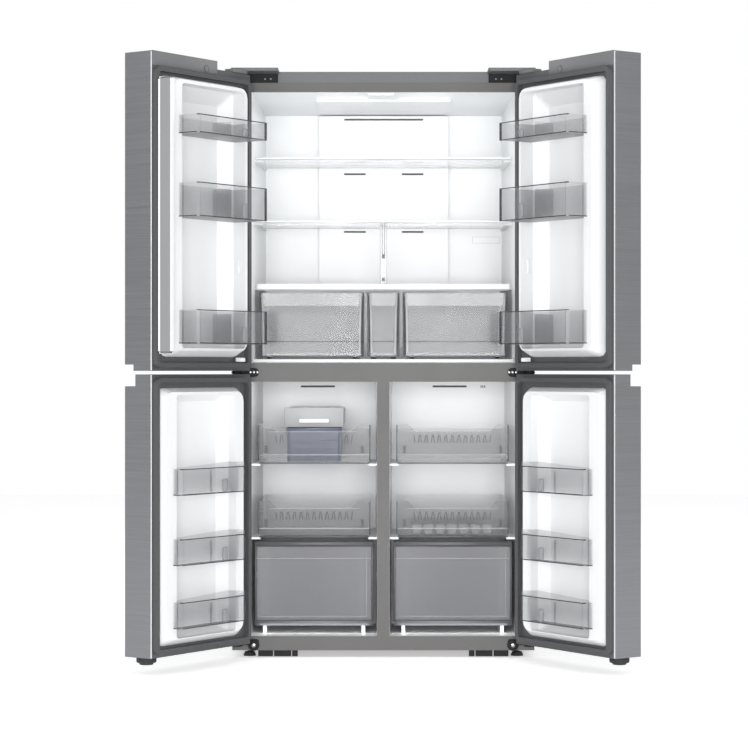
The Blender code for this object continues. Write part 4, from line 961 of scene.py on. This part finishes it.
# %% Drawer fronts
def dress_drawer(name):
    low, high = (Vector(corner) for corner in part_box(name))
    front = low.y
    bm = bmesh.new()
    block(bm, (low.x, front - 0.004, high.z - 0.0155), (high.x, front + 0.004, high.z + 0.0003), 0.0018)
    block(bm, (low.x, front - 0.004, low.z), (high.x, front + 0.004, low.z + 0.0165), 0.0018)
    for x0, x1 in ((low.x, low.x + 0.0062), (high.x - 0.0062, high.x)):
        block(bm, (x0, front - 0.0038, low.z + 0.008), (x1, front + 0.004, high.z - 0.008), 0.0016)
    to_object(f"{name}_frame", bm, DRAWER_EDGE, name)
    bm = bmesh.new()
    block(
        bm, (low.x + 0.010, front - 0.0062, high.z - 0.0125),
        (high.x - 0.012, front - 0.003, high.z - 0.0035), 0.0014,
    )
    to_object(f"{name}_lip", bm, TRAY_EDGE, name)
    bm = bmesh.new()
    block(
        bm, (low.x + 0.006, front - 0.0012, high.z - 0.0520),
        (high.x - 0.006, front + 0.0004, high.z - 0.0502), 0.0004,
    )
    block(
        bm, (low.x + 0.020, front - 0.0010, low.z + 0.028),
        (high.x - 0.020, front + 0.0004, low.z + 0.0292), 0.0003,
    )
    block(
        bm, (high.x - 0.0205, front - 0.0010, low.z + 0.028),
        (high.x - 0.0193, front + 0.0004, high.z - 0.030), 0.0003,
    )
    to_object(f"{name}_bright_lines", bm, RIB_CLEAR, name)


for side_name, side in SIDES.items():
    dress_drawer(f"freezer_drawer_{side_name}")
print("framed the drawers")

# %% [markdown]
# ## Ice maker and ice box
# The left freezer's top tray carries a white twist tray in a case with a ridge to pull it by, over
# a lavender box for the cubes. The right middle tray holds a clear cube mould.

# %% Ice maker ridge, box lines and the cube mould
def dress_ice():
    low, high = (Vector(corner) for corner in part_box("ice_maker"))
    box_low, box_high = (Vector(corner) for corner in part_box("ice_box"))
    middle = (low.x + high.x) / 2
    bm = bmesh.new()
    block(
        bm, (low.x - 0.0005, low.y - 0.006, low.z - 0.0015),
        (high.x + 0.0005, low.y + 0.0005, high.z + 0.001), 0.0015,
    )
    to_object("ice_maker_front", bm, ICE_WHITE, "cabinet")
    bm = bmesh.new()
    block(
        bm, (middle - 0.046, low.y - 0.016, low.z + 0.012),
        (middle + 0.046, low.y - 0.004, low.z + 0.0245), 0.0035, 4,
    )
    to_object("ice_maker_ridge", bm, SHELF_TRIM, "cabinet")
    bm = bmesh.new()
    front = box_low.y
    tall = box_high.z - box_low.z
    for z in (box_low.z + tall * 0.60, box_low.z + tall * 0.36, box_low.z + 0.002):
        block(
            bm, (box_low.x + 0.004, front - 0.0014, z),
            (box_high.x - 0.004, front + 0.0004, z + 0.0026), 0.0006,
        )
    for x in (box_low.x + 0.003, box_high.x - 0.0055):
        block(
            bm, (x, front - 0.0014, box_low.z + 0.004),
            (x + 0.0026, front + 0.0004, box_high.z - 0.004), 0.0006,
        )
    to_object("ice_box_lines", bm, ICE_LINE, "ice_box")
    bm = bmesh.new()
    block(
        bm, (box_low.x, front - 0.003, box_high.z - 0.0045), (box_high.x, front + 0.0004, box_high.z),
        0.001,
    )
    to_object("ice_box_rim", bm, ICE_CLEAR, "ice_box")


def make_cube_mould():
    low, high = (Vector(corner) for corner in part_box("freezer_tray_middle_right"))
    bm = bmesh.new()
    columns, rows, size = 7, 3, 0.036
    left = (low.x + high.x) / 2 - columns * size / 2
    for row in range(rows):
        for column in range(columns):
            x, y = left + column * size, low.y + 0.030 + row * size
            start = len(bm.verts)
            block(
                bm, (x + 0.001, y, low.z + 0.006), (x + size - 0.001, y + size - 0.001, low.z + 0.036),
                0.007, 3,
            )
            bm.verts.ensure_lookup_table()
            foot = [v for v in bm.verts[start:] if v.co.z < low.z + 0.020]
            centre = Matrix.Translation((-x - size / 2, -y - size / 2, 0))
            bmesh.ops.scale(bm, vec=(0.72, 0.72, 1), space=centre, verts=foot)
    to_object("cube_mould", bm, MOULD_CLEAR, "freezer_tray_middle_right")


dress_ice()
make_cube_mould()
print("finished the ice corner")

# %% [markdown]
# ## Rear cover
# A pressed cover closes the machine compartment. Two banks of louvres let the compressor's heat out,
# and screws hold it along its top and bottom edges.

# %% Machine cover with its louvres
LOUVRE_PITCH = 0.016
LOUVRE_BANKS = ((-0.36, -0.03), (0.03, 0.36))


def make_machine_cover():
    compressor_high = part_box("compressor")[1]
    case_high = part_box("outer_case")[1]
    floor_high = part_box("base_frame")[1]
    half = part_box("freezer_liner_right")[1][0]
    back = case_high[1] - 0.0006
    low, high = floor_high[2] + 0.001, compressor_high[2] + 0.063
    y0, y1 = back - 0.003, back
    sill, lintel = low + 0.030, high - 0.030
    bm = bmesh.new()
    block(bm, (-half, y0, low), (half, y1, sill), 0.0008)
    block(bm, (-half, y0, lintel), (half, y1, high), 0.0008)
    posts = [-half, *[x for bank in LOUVRE_BANKS for x in bank], half]
    for near, far in zip(posts[0::2], posts[1::2]):
        block(bm, (near, y0, sill - 0.001), (far, y1, lintel + 0.001), 0.0008)
    to_object("machine_cover", bm, CASE_GREY, "cabinet")
    bm = bmesh.new()
    count = int((lintel - sill) / LOUVRE_PITCH)
    for near, far in LOUVRE_BANKS:
        for index in range(count):
            z = sill + (index + 0.25) * (lintel - sill) / count
            start = len(bm.verts)
            block(bm, (near - 0.001, y0 - 0.004, z), (far + 0.001, y0 - 0.0025, z + 0.012), 0.0004)
            bm.verts.ensure_lookup_table()
            foot = [v for v in bm.verts[start:] if v.co.z < z + 0.006]
            bmesh.ops.translate(bm, vec=(0, 0.005, 0), verts=foot)
    to_object("machine_cover_louvres", bm, CASE_GREY, "cabinet")
    bm = bmesh.new()
    for x in (-0.385, -0.195, 0.0, 0.195, 0.385):
        for z in (low + 0.012, high - 0.012):
            disc(bm, (x, back + 0.0004, z), "Y", 0.0048, 0.0016, 0.0005, 20)
    to_object("machine_cover_screws", bm, HINGE_SCREW, "cabinet")


make_machine_cover()
print("closed the machine compartment")

# %% [markdown]
# ## Studio
# A white sweep, a bright surround and large soft lights: one each side, one over the top and a wide
# one in front, so that the inside of the cabinet is lit to its back wall.

# %% Floor, lights and camera
def stage():
    bm = bmesh.new()
    bmesh.ops.create_grid(bm, x_segments=1, y_segments=1, size=9.0)
    mesh = bpy.data.meshes.new("floor")
    bm.to_mesh(mesh)
    bm.free()
    floor = bpy.data.objects.new("floor", mesh)
    bpy.context.scene.collection.objects.link(floor)
    made, tree, shader = base_material("Pale floor", Roughness=0.8)
    shader.inputs["Base Color"].default_value = (0.93, 0.93, 0.93, 1.0)
    shader.inputs["Emission Color"].default_value = (1.0, 1.0, 1.0, 1.0)
    shader.inputs["Emission Strength"].default_value = 0.45
    mesh.materials.append(made)


def area_light(name, location, target, size, power):
    data = bpy.data.lights.new(name, "AREA")
    data.shape = "RECTANGLE"
    data.size, data.size_y = size
    data.energy = power
    light = bpy.data.objects.new(name, data)
    light.location = location
    light.visible_camera = False
    light.rotation_euler = (Vector(target) - Vector(location)).to_track_quat("-Z", "Y").to_euler()
    bpy.context.scene.collection.objects.link(light)


def studio():
    world = bpy.data.worlds.new("studio")
    world.use_nodes = True
    tree = world.node_tree
    room = tree.nodes["Background"]
    room.inputs["Color"].default_value = (1.0, 1.0, 1.0, 1.0)
    room.inputs["Strength"].default_value = ROOM
    seen = node(tree, "ShaderNodeBackground")
    seen.inputs["Strength"].default_value = 1.0
    seen.inputs["Color"].default_value = (1.0, 1.0, 1.0, 1.0)
    path = node(tree, "ShaderNodeLightPath")
    mix = node(tree, "ShaderNodeMixShader")
    tree.links.new(path.outputs["Is Camera Ray"], mix.inputs["Fac"])
    tree.links.new(room.outputs["Background"], mix.inputs[1])
    tree.links.new(seen.outputs["Background"], mix.inputs[2])
    tree.links.new(mix.outputs["Shader"], tree.nodes["World Output"].inputs["Surface"])
    bpy.context.scene.world = world
    middle = (0, 0, 0.9)
    area_light("front_soft", (0.0, FACE_Y - 7.5, 1.0), middle, (3.0, 1.6), FRONT_POWER)
    area_light("top_soft", (0.0, -1.2, 4.2), middle, (3.0, 2.0), 25)
    for side in (LEFT, RIGHT):
        area_light(f"rear_soft_{side}", (side * 4.5, 3.0, 2.2), middle, (2.0, 3.0), 60)
        area_light(f"grazing_soft_{side}", (side * 4.2, -3.2, 2.6), (side * 0.7, -0.4, 1.2), (1.2, 2.4), 26)
    area_light("fridge_sill", (0, -0.03, 0.912), (0, 0.06, 0.886), (0.72, 0.012), 0.20)
    area_light("fridge_lamp", (0, 0.06, 1.69), (0, 0.20, 1.2), (0.6, 0.05), 0.55)
    for side in (LEFT, RIGHT):
        area_light(
            f"freezer_lamp_{side}", (side * FREEZER_MIDDLE, 0.0, 0.825), (side * FREEZER_MIDDLE, 0.22, 0.5), (0.28, 0.05),
            0.16,
        )
        area_light(
            f"freezer_sill_{side}", (side * FREEZER_MIDDLE, -0.03, 0.088), (side * FREEZER_MIDDLE, 0.06, 0.062),
            (0.34, 0.012), 0.10,
        )
        area_light(
            f"freezer_wall_{side}", (side * 0.05, -0.10, 0.45), (side * 0.40, 0.20, 0.45), (0.08, 0.7),
            0.16,
        )
        area_light(
            f"post_wall_{side}", (side * 0.38, -0.10, 0.45), (side * 0.03, 0.20, 0.45), (0.08, 0.7),
            0.16,
        )
        area_light(
            f"fridge_wall_{side}", (side * 0.10, -0.10, 1.35), (side * 0.40, 0.20, 1.35), (0.1, 0.6),
            0.35,
        )
        area_light(
            f"freezer_fill_{side}", (side * FREEZER_MIDDLE, -0.30, 0.30), (side * FREEZER_MIDDLE, 0.3, 0.30), (0.30, 0.5),
            0.12,
        )
    bpy.context.scene.view_settings.view_transform = "Standard"


FREEZER_MIDDLE = 0.21
ROOM = 0.55
FRONT_POWER = 260
CAMERA_DISTANCE = 7.0
CAMERA_HEIGHT = 0.8687
CAMERA_LENS = 111.65
CAMERA_SIDE = 0.02
CAMERA_SHIFT = -0.0213


def camera():
    data = bpy.data.cameras.new("camera")
    data.lens = CAMERA_LENS
    data.sensor_width = 36.0
    data.shift_x = CAMERA_SHIFT
    view = bpy.data.objects.new("camera", data)
    view.location = (CAMERA_SIDE, FACE_Y - CAMERA_DISTANCE, CAMERA_HEIGHT)
    view.rotation_euler = (math.pi / 2, 0, 0)
    bpy.context.scene.collection.objects.link(view)
    bpy.context.scene.camera = view


stage()
studio()
camera()
